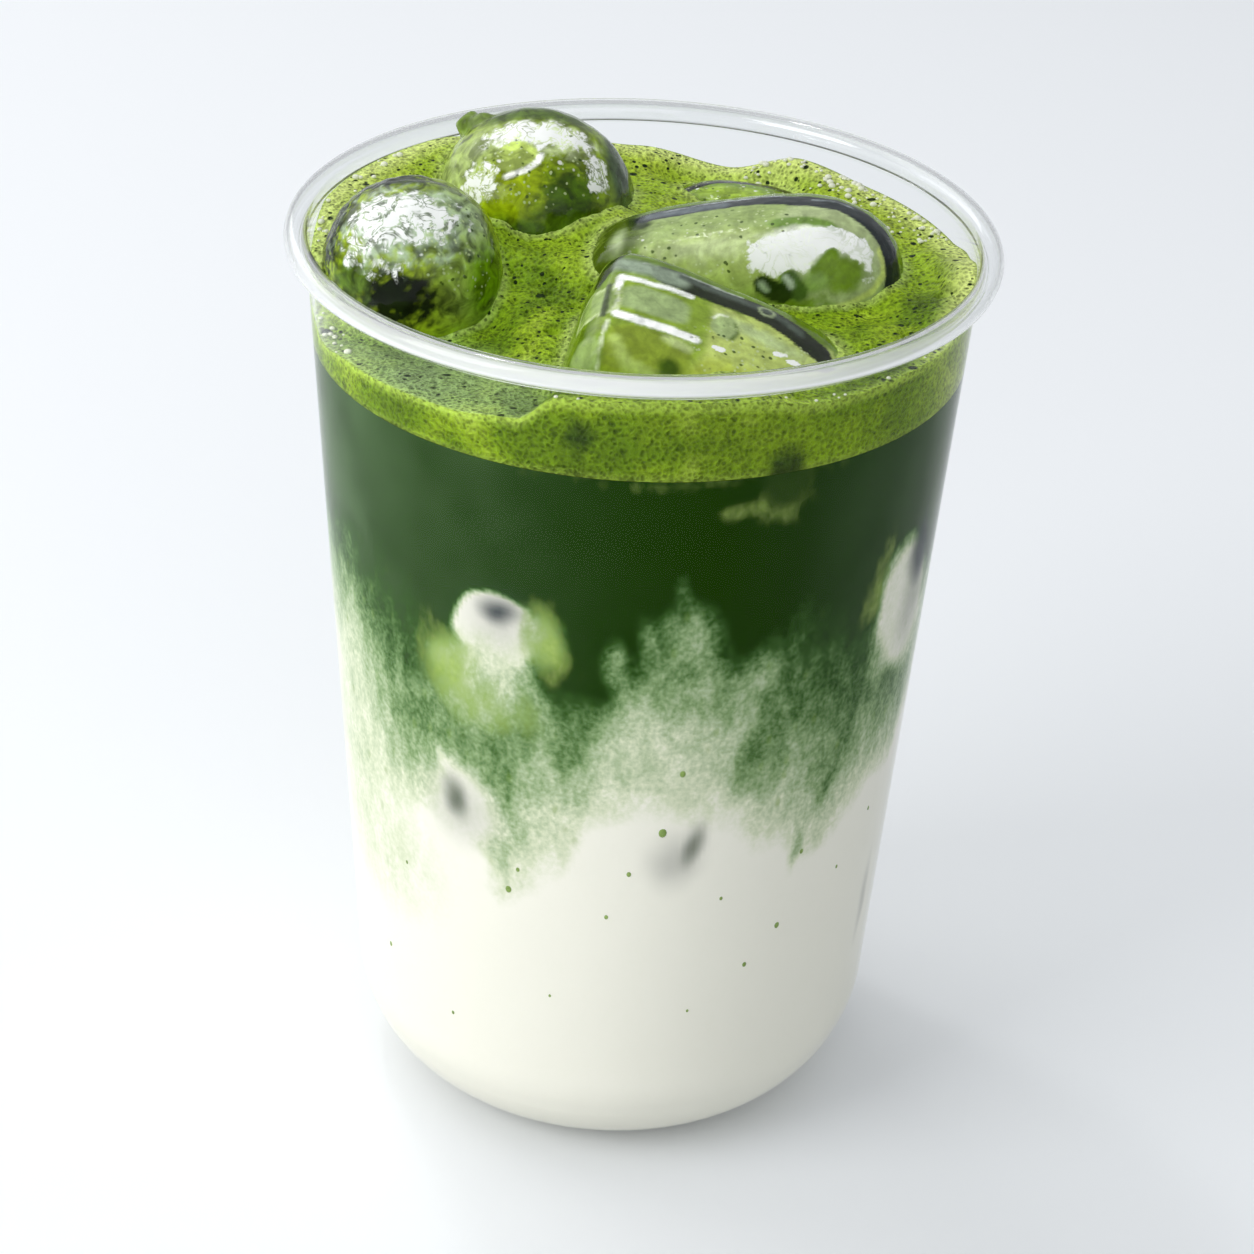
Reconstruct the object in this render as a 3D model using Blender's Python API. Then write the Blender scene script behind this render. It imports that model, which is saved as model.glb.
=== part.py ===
# Iced matcha latte in a clear U-shaped cup: milk below, matcha above, green foam
# and five pieces of ice at the top. Origin at the centre of the base, +Z up.
import math

import bmesh
import bpy
from mathutils import Euler, Matrix, Vector

MM = 0.001
NAME = "iced_matcha_latte"
GAP = 0.3 * MM                 # left between a piece and whatever it touches

# Cup
CUP_HEIGHT = 123.6 * MM
RIM_RADIUS = 45.0 * MM
WALL = 0.6 * MM
WALL_TOP_RADIUS = 42.3 * MM    # outside of the wall just under the rolled rim
CORNER_TOP_RADIUS = 35.4 * MM  # outside of the wall where the round bottom begins
CORNER_HEIGHT = 16.8 * MM
FOOT_RADIUS = 19.4 * MM        # outer edge of the ring that the cup stands on
FOOT_WIDTH = 3.9 * MM
BASE_RECESS = 1.2 * MM
BEAD_HEIGHT = 2.8 * MM
CUP_STEPS = 56
CORNER_STEPS = 6
BEAD_STEPS = 11

# Drink
FOAM_LEVEL = 108.7 * MM        # underside of the foam, level all round
MILK_LEVEL = 68.0 * MM         # middle of the line between milk and matcha
MILK_SWELL = 5.0 * MM          # how far that line rises and falls
DRINK_STEPS = 48
SWELL_RINGS = 6
FOAM_STEPS = 56
FOAM_RINGS = 12

# Upper edge of the foam on the wall: degrees round from the front, and height
FOAM_EDGE = (
    (-178, 117.6), (-160, 119.0), (-136, 121.4), (-104, 121.3), (-88, 119.0),
    (-70, 112.0), (-56, 113.4), (-32, 114.0), (-20, 115.0), (-12, 118.8),
    (4, 119.2), (18, 118.9), (32, 117.3), (61, 117.4), (76, 118.6),
    (88, 120.6), (98, 119.0), (108, 117.9), (134, 118.0), (150, 118.9), (165, 115.7),
)
# Height of the foam between the ice: across, away from the front, up
FOAM_MARKS = (
    (-20.5, 9.5, 118.8),       # ridge between the two balls
    (-14.0, 7.5, 117.2),       # foot of the back ball
    (-6.5, 13.5, 119.2),       # saddle between the back ball and the back block
    (-7.5, 4.0, 117.7),        # left end of the back block
    (-13.0, -8.0, 115.0),      # slope down to the front left
    (-17.5, -3.5, 115.0),      # right of the left ball
    (-21.0, -9.5, 112.2),      # in front of the left ball
    (-25.5, -12.5, 111.6),
    (-18.0, -19.0, 112.8),
    (-14.0, -30.0, 114.0),
    (-9.5, -20.0, 114.3),      # left of the front block
    (18.0, -7.5, 115.6),       # groove between the two blocks
    (26.0, -6.5, 115.8),
    (33.5, -1.0, 117.3),       # right of the back block
    (25.0, -22.5, 116.0),      # right end of the front block
    (31.0, -16.0, 116.9),
    (-2.0, 22.5, 117.8),       # behind the back block
    (0.0, 28.0, 117.0),
    (14.0, 24.0, 116.4),
    (26.0, 20.0, 117.6),
)

# Ice: centre, half sizes, turn in degrees, and how boxy the left and right ends are
BALL_LEFT = dict(centre=(-28.9, -1.9, 117.0), half=(11.5, 11.5, 11.5),
                 turn=(0, 0, 0), boxy=(2.0, 2.0), cuts=5)
BALL_BACK = dict(centre=(-14.7, 22.5, 115.4), half=(13.4, 13.4, 13.4),
                 turn=(0, 0, 0), boxy=(2.0, 2.0), cuts=6)
BLOCK_BACK = dict(centre=(13.3, 4.2, 114.1), half=(20.0, 9.4, 10.5),
                  turn=(-3, -12.5, -3), boxy=(4.3, 2.45), cuts=7)
BLOCK_FRONT = dict(centre=(9.2, -20.4, 106.8), half=(19.4, 11.9, 13.8),
                   turn=(12, 18, -4), boxy=(7.0, 2.6), cuts=7)
PIECE_BACK = dict(centre=(12.6, 28.8, 110.7), half=(10.4, 6.6, 6.6),
                  turn=(-8, 0, -12), boxy=(3.0, 3.0), cuts=5)
NUB_LENGTH = 4.0 * MM          # blunt nub frozen on the back ball
NUB_RADIUS = 2.3 * MM
NUB_SIDE = Vector((-0.64, 0.38, 0.66))


def clear_scene():
    for obj in list(bpy.data.objects):
        bpy.data.objects.remove(obj, do_unlink=True)


def new_collection(name):
    collection = bpy.data.collections.new(name)
    bpy.context.scene.collection.children.link(collection)
    return collection


def material(name, colour, roughness, transmission=0.0):
    mat = bpy.data.materials.new(name)
    mat.use_nodes = True
    shader = mat.node_tree.nodes["Principled BSDF"]
    shader.inputs["Base Color"].default_value = (*colour, 1.0)
    shader.inputs["Roughness"].default_value = roughness
    shader.inputs["Metallic"].default_value = 0.0
    shader.inputs["Transmission Weight"].default_value = transmission
    return mat


def add_object(bm, name, collection, mat=None):
    bmesh.ops.recalc_face_normals(bm, faces=bm.faces)
    mesh = bpy.data.meshes.new(name)
    bm.to_mesh(mesh)
    bm.free()
    obj = bpy.data.objects.new(name, mesh)
    collection.objects.link(obj)
    if mat:
        mesh.materials.append(mat)
    mesh.shade_smooth()
    mesh.set_sharp_from_angle(angle=math.radians(40))
    return obj


def lathe(profile, steps):
    """Turn a profile in the XZ plane once round the Z axis."""
    bm = bmesh.new()
    verts = [bm.verts.new((x, 0.0, z)) for x, z in profile]
    edges = [bm.edges.new(pair) for pair in zip(verts, verts[1:])]
    bmesh.ops.spin(bm, geom=verts + edges, cent=(0, 0, 0), axis=(0, 0, 1),
                   angle=math.tau, steps=steps, use_merge=True)
    bmesh.ops.remove_doubles(bm, verts=bm.verts, dist=0.01 * MM)
    return bm


def wall_radius(z, inset=0.0):
    """Outside of the cup's wall at height z, less an inset measured across the wall."""
    if z >= CORNER_HEIGHT:
        slope = (WALL_TOP_RADIUS - CORNER_TOP_RADIUS) / (CUP_HEIGHT - BEAD_HEIGHT - CORNER_HEIGHT)
        return CORNER_TOP_RADIUS + slope * (z - CORNER_HEIGHT) - inset
    drop = min(1.0, (CORNER_HEIGHT - z) / (CORNER_HEIGHT - inset))
    return FOOT_RADIUS + (CORNER_TOP_RADIUS - inset - FOOT_RADIUS) * math.sqrt(1.0 - drop * drop)


def corner_points(inset):
    """Round bottom corner from the foot up to the straight wall."""
    points = []
    for i in range(CORNER_STEPS + 1):
        angle = math.pi / 2 * i / CORNER_STEPS
        points.append((
            FOOT_RADIUS + (CORNER_TOP_RADIUS - inset - FOOT_RADIUS) * math.sin(angle),
            CORNER_HEIGHT - (CORNER_HEIGHT - inset) * math.cos(angle)))
    return points


def make_cup(collection):
    bead_z = CUP_HEIGHT - BEAD_HEIGHT / 2
    bead_in = wall_radius(bead_z, WALL)
    bead_half = (RIM_RADIUS - bead_in) / 2
    inside = cup_floor(WALL) + [(wall_radius(CORNER_HEIGHT, WALL), CORNER_HEIGHT)]
    bead = []
    for i in range(BEAD_STEPS + 1):
        angle = math.pi - math.radians(310) * i / BEAD_STEPS
        bead.append((bead_in + bead_half + bead_half * math.cos(angle),
                     bead_z + BEAD_HEIGHT / 2 * math.sin(angle)))
    under_bead = CUP_HEIGHT - BEAD_HEIGHT - 0.4 * MM
    outside = [(wall_radius(under_bead), under_bead)]
    outside += reversed(corner_points(0.0))
    outside += [(FOOT_RADIUS - FOOT_WIDTH, 0.0),
                (FOOT_RADIUS - FOOT_WIDTH - 1.5 * MM, BASE_RECESS), (0.0, BASE_RECESS)]
    bm = lathe(inside + bead + outside, CUP_STEPS)
    return add_object(bm, "cup", collection,
                      material("clear_pet", (0.94, 0.96, 0.97), 0.05, transmission=0.9))


def swell(x, y):
    """Uneven line where the matcha sinks into the milk."""
    angle = math.atan2(x, -y)
    reach = math.hypot(x, y) / CORNER_TOP_RADIUS
    wave = 0.55 * math.sin(2 * angle + 0.6) + 0.45 * math.sin(3 * angle - 1.2)
    return MILK_LEVEL + MILK_SWELL * (wave * reach - 0.3 * (1 - reach))


def foam_edge(x, y):
    """Height of the foam on the wall, read round the cup from FOAM_EDGE."""
    degrees = math.degrees(math.atan2(x, -y))
    first_angle, first_level = FOAM_EDGE[0]
    marks = FOAM_EDGE + ((first_angle + 360, first_level),)
    for (a0, z0), (a1, z1) in zip(marks, marks[1:]):
        angle = degrees + 360 if degrees < first_angle else degrees
        if a0 <= angle <= a1:
            t = (angle - a0) / (a1 - a0)
            t = t * t * (3 - 2 * t)
            return (z0 + (z1 - z0) * t) * MM
    return first_level * MM


def foam_top(x, y):
    """Height of the foam: the marks between the ice, meeting the wall at foam_edge."""
    radius = math.hypot(x, y)
    edge = foam_edge(x, y)
    total, weights = 0.0, 0.0
    for mx, my, mz in FOAM_MARKS:
        weight = 1.0 / ((x / MM - mx) ** 2 + (y / MM - my) ** 2 + 4.0) ** 2
        total += weight * mz * MM
        weights += weight
    away = (wall_radius(edge, WALL) - radius) / MM
    weight = 1.0 / (max(away, 0.0) ** 2 * 1.3 + 0.05) ** 2 if radius > 0 else 0.0
    return (total + weight * edge) / (weights + weight)


def cup_floor(inset):
    """Inside of the cup's base and round corner, from the axis outwards."""
    floor = BASE_RECESS + inset
    return [(0.0, floor), (FOOT_RADIUS - FOOT_WIDTH - inset, floor),
            (FOOT_RADIUS - FOOT_WIDTH + inset, inset)] + corner_points(inset)[:-1]


def filling(name, collection, mat, top, rings, steps, bottom=None, bottom_rings=1):
    """Fill the cup up to a surface, from its floor or from another surface.

    A surface is a height as a function of x and y. Both are cut into rings, which
    are lathed flat and then raised, and they widen to the wall at their own height."""
    inset = WALL + GAP
    high = top(0.0, 0.0)
    if bottom:
        low = bottom(0.0, 0.0)
        reach = wall_radius(low, inset)
        under = [(reach * i / bottom_rings, low) for i in range(bottom_rings + 1)]
    else:
        under = cup_floor(inset)
    reach = wall_radius(high, inset)
    over = [(reach * (1 - i / rings), high) for i in range(rings + 1)]
    bm = lathe(under + over, steps)
    for vert in bm.verts:
        x, y, z = vert.co
        if abs(z - high) < 0.01 * MM:
            surface, level = top, high
        elif bottom and abs(z - low) < 0.01 * MM:
            surface, level = bottom, low
        else:
            continue
        share = math.hypot(x, y) / wall_radius(level, inset)
        angle = math.atan2(y, x)
        height = surface(x, y)
        for _ in range(3):
            radius = wall_radius(height, inset) * share
            x, y = radius * math.cos(angle), radius * math.sin(angle)
            height = surface(x, y)
        vert.co = (x, y, height)
    bmesh.ops.triangulate(bm, faces=bm.faces)
    return add_object(bm, name, collection, mat)


def ice_mesh(centre, half, turn, boxy, cuts, grow=0.0):
    """Cube puffed into a rounded block, boxier at one end than at the other."""
    bm = bmesh.new()
    bmesh.ops.create_cube(bm, size=2.0)
    bmesh.ops.subdivide_edges(bm, edges=bm.edges, cuts=cuts, use_grid_fill=True)
    spin = Euler([math.radians(a) for a in turn]).to_matrix().to_4x4()
    for vert in bm.verts:
        co = vert.co
        power = boxy[0] + (boxy[1] - boxy[0]) * (co.x + 1) / 2
        length = sum(abs(value) ** power for value in co) ** (1 / power)
        vert.co = [value / length * (size * MM + grow) for value, size in zip(co, half)]
    bmesh.ops.transform(bm, matrix=Matrix.Translation(Vector(centre) * MM) @ spin, verts=bm.verts)
    bmesh.ops.triangulate(bm, faces=bm.faces)
    return bm


def subtract(obj, cutters):
    for cutter in cutters:
        cut = obj.modifiers.new(cutter.name, "BOOLEAN")
        cut.operation = "DIFFERENCE"
        cut.object = cutter


def make_ice(name, form, parts, cutters, mat):
    ice = add_object(ice_mesh(**form), name, parts, mat)
    pocket = add_object(ice_mesh(**form, grow=GAP), name + "_pocket", cutters)
    pocket.hide_render = True
    pocket.display_type = "WIRE"
    return ice, pocket


def add_nub(ball, form, cutters):
    """Blunt nub on the upper left of the back ball."""
    bm = bmesh.new()
    bmesh.ops.create_cone(bm, cap_ends=True, segments=12, radius1=NUB_RADIUS,
                          radius2=NUB_RADIUS * 0.7, depth=NUB_LENGTH)
    side = NUB_SIDE.normalized()
    place = Vector(form["centre"]) * MM + side * form["half"][0] * MM
    turn = side.to_track_quat("Z", "Y").to_matrix().to_4x4()
    bmesh.ops.transform(bm, matrix=Matrix.Translation(place) @ turn, verts=bm.verts)
    nub = add_object(bm, "nub", cutters)
    nub.hide_render = True
    nub.display_type = "WIRE"
    join = ball.modifiers.new("nub", "BOOLEAN")
    join.operation = "UNION"
    join.object = nub


def main():
    clear_scene()
    parts = new_collection(NAME)
    cutters = new_collection("cutters")
    make_cup(parts)
    ice_mat = material("ice", (0.80, 0.88, 0.76), 0.08, transmission=0.8)
    forms = {"ice_ball_left": BALL_LEFT, "ice_ball_back": BALL_BACK,
             "ice_block_back": BLOCK_BACK, "ice_block_front": BLOCK_FRONT,
             "ice_piece_back": PIECE_BACK}
    pockets = []
    for name, form in forms.items():
        ice, pocket = make_ice(name, form, parts, cutters, ice_mat)
        pockets.append(pocket)
        if name == "ice_ball_back":
            add_nub(ice, form, cutters)

    filling("milk", parts, material("milk", (0.86, 0.86, 0.78), 0.25),
            lambda x, y: swell(x, y) - GAP, SWELL_RINGS, DRINK_STEPS)
    matcha = filling("matcha", parts, material("matcha", (0.06, 0.14, 0.03), 0.2),
                     lambda x, y: FOAM_LEVEL - GAP, 1, DRINK_STEPS,
                     bottom=swell, bottom_rings=SWELL_RINGS)
    foam = filling("foam", parts, material("matcha_foam", (0.28, 0.46, 0.05), 0.5),
                   foam_top, FOAM_RINGS, FOAM_STEPS, bottom=lambda x, y: FOAM_LEVEL)
    subtract(matcha, pockets)
    subtract(foam, pockets)


main()
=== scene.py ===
# Iced matcha latte in a clear plastic cup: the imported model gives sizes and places,
# and this script makes the cup, the cloudy drink, the froth and the ice.
import math
import random

import bpy
import numpy as np
from mathutils import Euler, Matrix, Vector, noise
from mathutils.bvhtree import BVHTree


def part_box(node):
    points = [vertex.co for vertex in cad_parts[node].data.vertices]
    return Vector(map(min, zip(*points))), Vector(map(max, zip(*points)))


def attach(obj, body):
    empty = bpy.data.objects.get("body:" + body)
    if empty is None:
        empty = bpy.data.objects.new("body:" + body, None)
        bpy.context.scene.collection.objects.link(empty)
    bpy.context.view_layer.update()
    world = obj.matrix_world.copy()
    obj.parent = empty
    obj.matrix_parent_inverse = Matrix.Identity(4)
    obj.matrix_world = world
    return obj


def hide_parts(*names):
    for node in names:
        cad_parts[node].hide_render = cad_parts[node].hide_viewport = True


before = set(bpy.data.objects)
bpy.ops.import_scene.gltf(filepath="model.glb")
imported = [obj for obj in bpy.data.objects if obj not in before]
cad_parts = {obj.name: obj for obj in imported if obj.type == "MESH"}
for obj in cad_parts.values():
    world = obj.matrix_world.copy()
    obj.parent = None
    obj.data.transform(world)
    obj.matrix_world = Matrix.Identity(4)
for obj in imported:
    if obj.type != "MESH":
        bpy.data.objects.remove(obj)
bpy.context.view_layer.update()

mm = 0.001
bpy.ops.object.select_all(action="DESELECT")
bpy.context.scene.view_settings.view_transform = "Standard"


# Small tools

def hexLinear(text):  # sRGB hex to linear colour
    parts = [int(text[i:i + 2], 16) / 255 for i in (1, 3, 5)]
    return [p / 12.92 if p <= 0.04045 else ((p + 0.055) / 1.055) ** 2.4 for p in parts] + [1.0]


mainSetting = {"Math": "operation", "VectorMath": "operation", "Mix": "data_type", "ValToRGB": "stops",
               "MapRange": "interpolation_type", "Attribute": "attribute_name"}


def addNode(tree, kind, settings=None, inputs=None):
    # settings: a dictionary, or the main setting alone; a ramp's stops are rows of place and colour
    # inputs: sockets to values, or a row of values for the sockets in use;
    # a value can be a number, a hex colour, an output or a node, which gives its first output in use
    node = tree.nodes.new("ShaderNode" + kind)
    if settings is not None and not isinstance(settings, dict):
        settings = {mainSetting[kind]: settings}
    for key, value in (settings or {}).items():
        if key != "stops":
            setattr(node, key, value)
            continue
        for i, (at, shade) in enumerate(value):
            stop = node.color_ramp.elements[i] if i < 2 else node.color_ramp.elements.new(at)
            stop.position, stop.color = at, hexLinear(shade)
    if isinstance(inputs, tuple):
        pairs = list(zip((socket for socket in node.inputs if socket.enabled), inputs))
    else:
        pairs = [(node.inputs[key], value) for key, value in (inputs or {}).items()]
    for socket, value in pairs:
        if isinstance(value, bpy.types.Node):
            value = next(output for output in value.outputs if output.enabled)
        if isinstance(value, bpy.types.NodeSocket):
            tree.links.new(value, socket)
        else:
            socket.default_value = hexLinear(value) if isinstance(value, str) else value
    return node


def layColours(tree, color, rows):
    # lays colours over one another; a row is what guides it, its range, the most that shows and the colour
    for guide, low, high, most, shade in rows:
        part = addNode(tree, "MapRange", None, (guide, low, high, 0.0, most))
        color = addNode(tree, "Mix", "RGBA", (part, color, shade))
    return color


def scatterDots(tree, place, scale, share, size, core, most, edge="LINEAR"):
    # round dots in a share of the cells of a random pattern
    cells = addNode(tree, "TexVoronoi", None, {"Vector": place, "Scale": scale})
    chosen = addNode(tree, "Math", "LESS_THAN", (cells.outputs["Color"], share))
    inside = addNode(tree, "MapRange", edge, (cells.outputs["Distance"], size, core, 0.0, most))
    return addNode(tree, "Math", "MULTIPLY", (chosen, inside))


def drifted(tree, place, scale, reach):
    # places pushed about, so that a pattern on them isn't too even
    drift = addNode(tree, "TexNoise", None, {"Vector": place, "Scale": scale, "Detail": 2.0})
    return addNode(tree, "VectorMath", "MULTIPLY_ADD", (drift.outputs["Color"], (reach, reach, reach), place))


def finishGlass(tree, glass, tint):
    # light from the lamps goes straight through, so that glass casts no black shadow
    clear = addNode(tree, "BsdfTransparent", None, {"Color": tint})
    lampRay = addNode(tree, "LightPath").outputs["Is Shadow Ray"]
    mix = addNode(tree, "MixShader", None, (lampRay, glass, clear))
    addNode(tree, "OutputMaterial", None, {"Surface": mix})


def newMaterial(name):
    material = bpy.data.materials.new(name)
    material.use_nodes = True
    material.node_tree.nodes.clear()
    return material, material.node_tree


def activate(obj):
    bpy.ops.object.select_all(action="DESELECT")
    obj.select_set(True)
    bpy.context.view_layer.objects.active = obj
    return obj


def applied(obj, kind, **settings):
    activate(obj)
    modifier = obj.modifiers.new(kind.lower(), kind)
    for key, value in settings.items():
        setattr(modifier, key, value)
    bpy.ops.object.modifier_apply(modifier=modifier.name)
    return obj


def turned(name, points, steps):
    # spins a line of (radius, height) points once round the Z axis
    bpy.ops.mesh.primitive_plane_add(size=mm)
    obj = bpy.context.object
    obj.name = name
    bpy.ops.object.mode_set(mode="EDIT")
    bpy.ops.mesh.select_all(action="SELECT")
    bpy.ops.mesh.merge(type="CENTER")
    bpy.ops.transform.translate(value=(points[0][0], 0, points[0][1]))
    for (r0, z0), (r1, z1) in zip(points, points[1:]):
        bpy.ops.mesh.extrude_region_move(TRANSFORM_OT_translate={"value": (r1 - r0, 0, z1 - z0)})
    bpy.ops.mesh.select_all(action="SELECT")
    bpy.ops.mesh.spin(steps=steps, angle=math.tau, center=(0, 0, 0), axis=(0, 0, 1))
    bpy.ops.mesh.select_all(action="SELECT")
    bpy.ops.mesh.remove_doubles(threshold=0.004 * mm)
    bpy.ops.mesh.normals_make_consistent(inside=False)
    bpy.ops.object.mode_set(mode="OBJECT")
    bpy.ops.object.shade_smooth()
    return obj


def joinedBalls(name, moves):
    # one small ball copied to every move, each with its own mesh, and joined
    bpy.ops.mesh.primitive_ico_sphere_add(subdivisions=2, radius=1.0)
    first = bpy.context.object
    parts = []
    for move in moves:
        part = first.copy()
        part.data = first.data.copy()
        bpy.context.scene.collection.objects.link(part)
        part.data.transform(move)
        parts.append(part)
    bpy.data.objects.remove(first, do_unlink=True)
    bpy.ops.object.select_all(action="DESELECT")
    for part in parts:
        part.select_set(True)
    bpy.context.view_layer.objects.active = parts[0]
    bpy.ops.object.join()
    obj = bpy.context.object
    obj.name = name
    bpy.ops.object.shade_smooth()
    return obj


def places(obj):
    # corners of a mesh as rows of x, y, z in millimetres
    flat = np.empty(len(obj.data.vertices) * 3)
    obj.data.vertices.foreach_get("co", flat)
    return flat.reshape(-1, 3) / mm


def cloud(rows, size, seed, octaves=1):
    # soft noise from about -1 to 1, with lumps of the given size in millimetres
    shift = Vector((seed * 3.7, seed * 1.3, seed * 7.1))
    if octaves == 1:
        return np.array([noise.noise(Vector(row) / size + shift) for row in rows])
    return np.array([noise.fractal(Vector(row) / size + shift, 0.8, 2.0, octaves) for row in rows])


def ease(low, high, value):
    t = np.clip((value - low) / (high - low), 0, 1)
    return t * t * (3 - 2 * t)


def keepNumbers(obj, name, values):
    layer = obj.data.attributes.new(name, "FLOAT", "POINT")
    layer.data.foreach_set("value", np.asarray(values, dtype=np.float32))


def keepColours(obj, name, rows):
    layer = obj.data.attributes.new(name, "FLOAT_COLOR", "POINT")
    rows = np.column_stack((rows, np.ones(len(rows))))
    layer.data.foreach_set("color", rows.astype(np.float32).ravel())


def dress(obj, material, nodes):
    if obj.data.materials:
        obj.data.materials[0] = material
    else:
        obj.data.materials.append(material)
    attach(obj, "root")
    if nodes:
        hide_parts(*nodes)
    return obj


# Camera: fitted to the cup's outline in the photograph

camera = {
    "distance": 439.9 * mm,
    "elevation": 29.88,
    "roll": 2.8,
    "aimHeight": 65.5 * mm,
    "aimAcross": 0.2 * mm,
    "lens": 94.4,
}


def addCamera():
    tilt = math.radians(camera["elevation"])
    place = Vector((camera["aimAcross"], -camera["distance"] * math.cos(tilt),
                    camera["aimHeight"] + camera["distance"] * math.sin(tilt)))
    bpy.ops.object.camera_add(location=place)
    obj = bpy.context.object
    turn = Matrix.Rotation(math.pi / 2 - tilt, 4, "X") @ Matrix.Rotation(math.radians(camera["roll"]), 4, "Z")
    obj.matrix_world = Matrix.Translation(place) @ turn
    obj.data.lens = camera["lens"]
    obj.data.sensor_width = 36.0
    obj.data.clip_start = 0.01
    bpy.context.scene.camera = obj


# Studio: pale floor, a big soft light overhead, one from the left and a weak one in front

studio = {
    "floor": "#f8fafc",
    "world": "#f4f7fb",
    "worldStrength": 0.62,
    "lights": (  # name, place, aim, size, power in watts
        ("overhead", (-0.55, 0.50, 0.70), (0.0, 0.0, 0.1), 0.9, 2.9),
        ("left", (-0.50, -0.30, 0.42), (0.0, 0.0, 0.06), 0.4, 1.85),
        ("front", (0.15, -0.75, 0.40), (0.0, 0.0, 0.05), 0.6, 0.55),
        ("spark", (-0.22, 0.30, 0.85), (0.0, 0.0, 0.12), 0.06, 0.45),
    ),
}


def addStudio():
    bpy.ops.mesh.primitive_plane_add(size=6.0, location=(0, 0, -0.02 * mm))
    floor = bpy.context.object
    floor.name = "floor"
    bpy.ops.object.transform_apply(location=True)
    material, tree = newMaterial("paintedFloor")
    shader = addNode(tree, "BsdfPrincipled", None, {
        "Base Color": studio["floor"], "Roughness": 0.6, "Specular IOR Level": 0.2})
    addNode(tree, "OutputMaterial", None, {"Surface": shader})
    floor.data.materials.append(material)
    world = bpy.data.worlds.new("studioWorld")
    bpy.context.scene.world = world
    world.use_nodes = True
    background = world.node_tree.nodes["Background"]
    background.inputs["Color"].default_value = hexLinear(studio["world"])
    background.inputs["Strength"].default_value = studio["worldStrength"]
    for name, place, aim, size, power in studio["lights"]:
        bpy.ops.object.light_add(type="AREA", location=place)
        light = bpy.context.object
        light.name = name
        light.data.size = size
        light.data.energy = power
        light.rotation_euler = (Vector(aim) - Vector(place)).to_track_quat("-Z", "Y").to_euler()


# Cup: thin clear shell, turned along the middle of its wall

cup = {
    "wall": 0.6 * mm,
    "wallTop": 42.3 * mm,     # outside of the wall under the rim
    "cornerTop": 35.4 * mm,   # outside of the wall above the round bottom
    "cornerHeight": 16.8 * mm,
    "footRadius": 19.4 * mm,
    "footWidth": 3.9 * mm,
    "recess": 1.2 * mm,
    "rimTube": 1.5 * mm,
    "steps": 200,
    "ring": 10.8 * mm,        # height of the faint crease round the bottom
    "creaseHalf": 0.4 * mm,
    "creaseDepth": 0.12 * mm,
}
cup["height"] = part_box("cup")[1].z
cup["rimRadius"] = 45.0 * mm
cup["straightTop"] = cup["height"] - 2.8 * mm
cup["fillInset"] = cup["wall"] * 0.5 + 0.05 * mm  # what fills the cup reaches just into its wall


def wallRadius(z, inset=0.0):
    # outside of the wall at a height, less an inset
    if z >= cup["cornerHeight"]:
        slope = (cup["wallTop"] - cup["cornerTop"]) / (cup["straightTop"] - cup["cornerHeight"])
        return cup["cornerTop"] + slope * (z - cup["cornerHeight"]) - inset
    drop = min(1.0, (cup["cornerHeight"] - z) / (cup["cornerHeight"] - inset))
    return cup["footRadius"] + (cup["cornerTop"] - inset - cup["footRadius"]) * math.sqrt(1 - drop * drop)


def floorLine(inset):
    # base, foot and round corner from the axis out to the straight wall
    floor, foot = cup["recess"] + inset, cup["footRadius"] - cup["footWidth"]
    line = [(0.0, floor), (foot - 1.4 * mm - inset, floor), (foot - 0.7 * mm, (floor + inset) / 2),
            (foot + inset, inset)]
    for i in range(33):
        angle = math.pi / 2 * i / 32
        line.append((cup["footRadius"] + (cup["cornerTop"] - inset - cup["footRadius"]) * math.sin(angle),
                     cup["cornerHeight"] - (cup["cornerHeight"] - inset) * math.cos(angle)))
    return line


def makeCup():
    half = cup["wall"] / 2
    line = []
    for r, z in floorLine(half):
        crease = math.exp(-((z - cup["ring"]) / cup["creaseHalf"]) ** 2) * cup["creaseDepth"]
        line.append((r - crease, z))
    for i in range(1, 13):
        z = cup["cornerHeight"] + (cup["straightTop"] - cup["cornerHeight"]) * i / 12
        line.append((wallRadius(z, half), z))
    tube = cup["rimTube"] - half
    centre = (cup["rimRadius"] - cup["rimTube"], cup["height"] - cup["rimTube"])
    for i in range(25):
        angle = math.radians(176 - 300 * i / 24)
        line.append((centre[0] + tube * math.cos(angle), centre[1] + tube * math.sin(angle)))
    obj = turned("clearCup", line, cup["steps"])
    applied(obj, "SOLIDIFY", thickness=cup["wall"] * 0.92, offset=0.0, use_even_offset=True)
    activate(obj)
    bpy.ops.object.shade_smooth()
    dress(obj, clearPet(), ["cup"])
    obj.data.materials.append(rolledPet())
    for face in obj.data.polygons:
        face.material_index = int(face.center.z > cup["straightTop"])
    # milky is a painted highlight on the top of the rolled rim, strongest at the front, where it makes the PET
    # whiter and less clear
    rows = places(obj)
    front = np.degrees(np.arctan2(rows[:, 0], -rows[:, 1]))
    out = np.hypot(rows[:, 0], rows[:, 1]) - (cup["rimRadius"] - cup["rimTube"]) / mm
    up = rows[:, 2] - (cup["height"] - cup["rimTube"]) / mm
    roll = np.degrees(np.arctan2(up, out))
    band = ease(-36, -18, roll) * ease(66, 46, roll) * (np.hypot(out, up) > 1.2)
    keepNumbers(obj, "milky", 0.02 + (0.06 + 0.76 * np.exp(-(front / 62.0) ** 2)) * band)
    return obj


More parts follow.
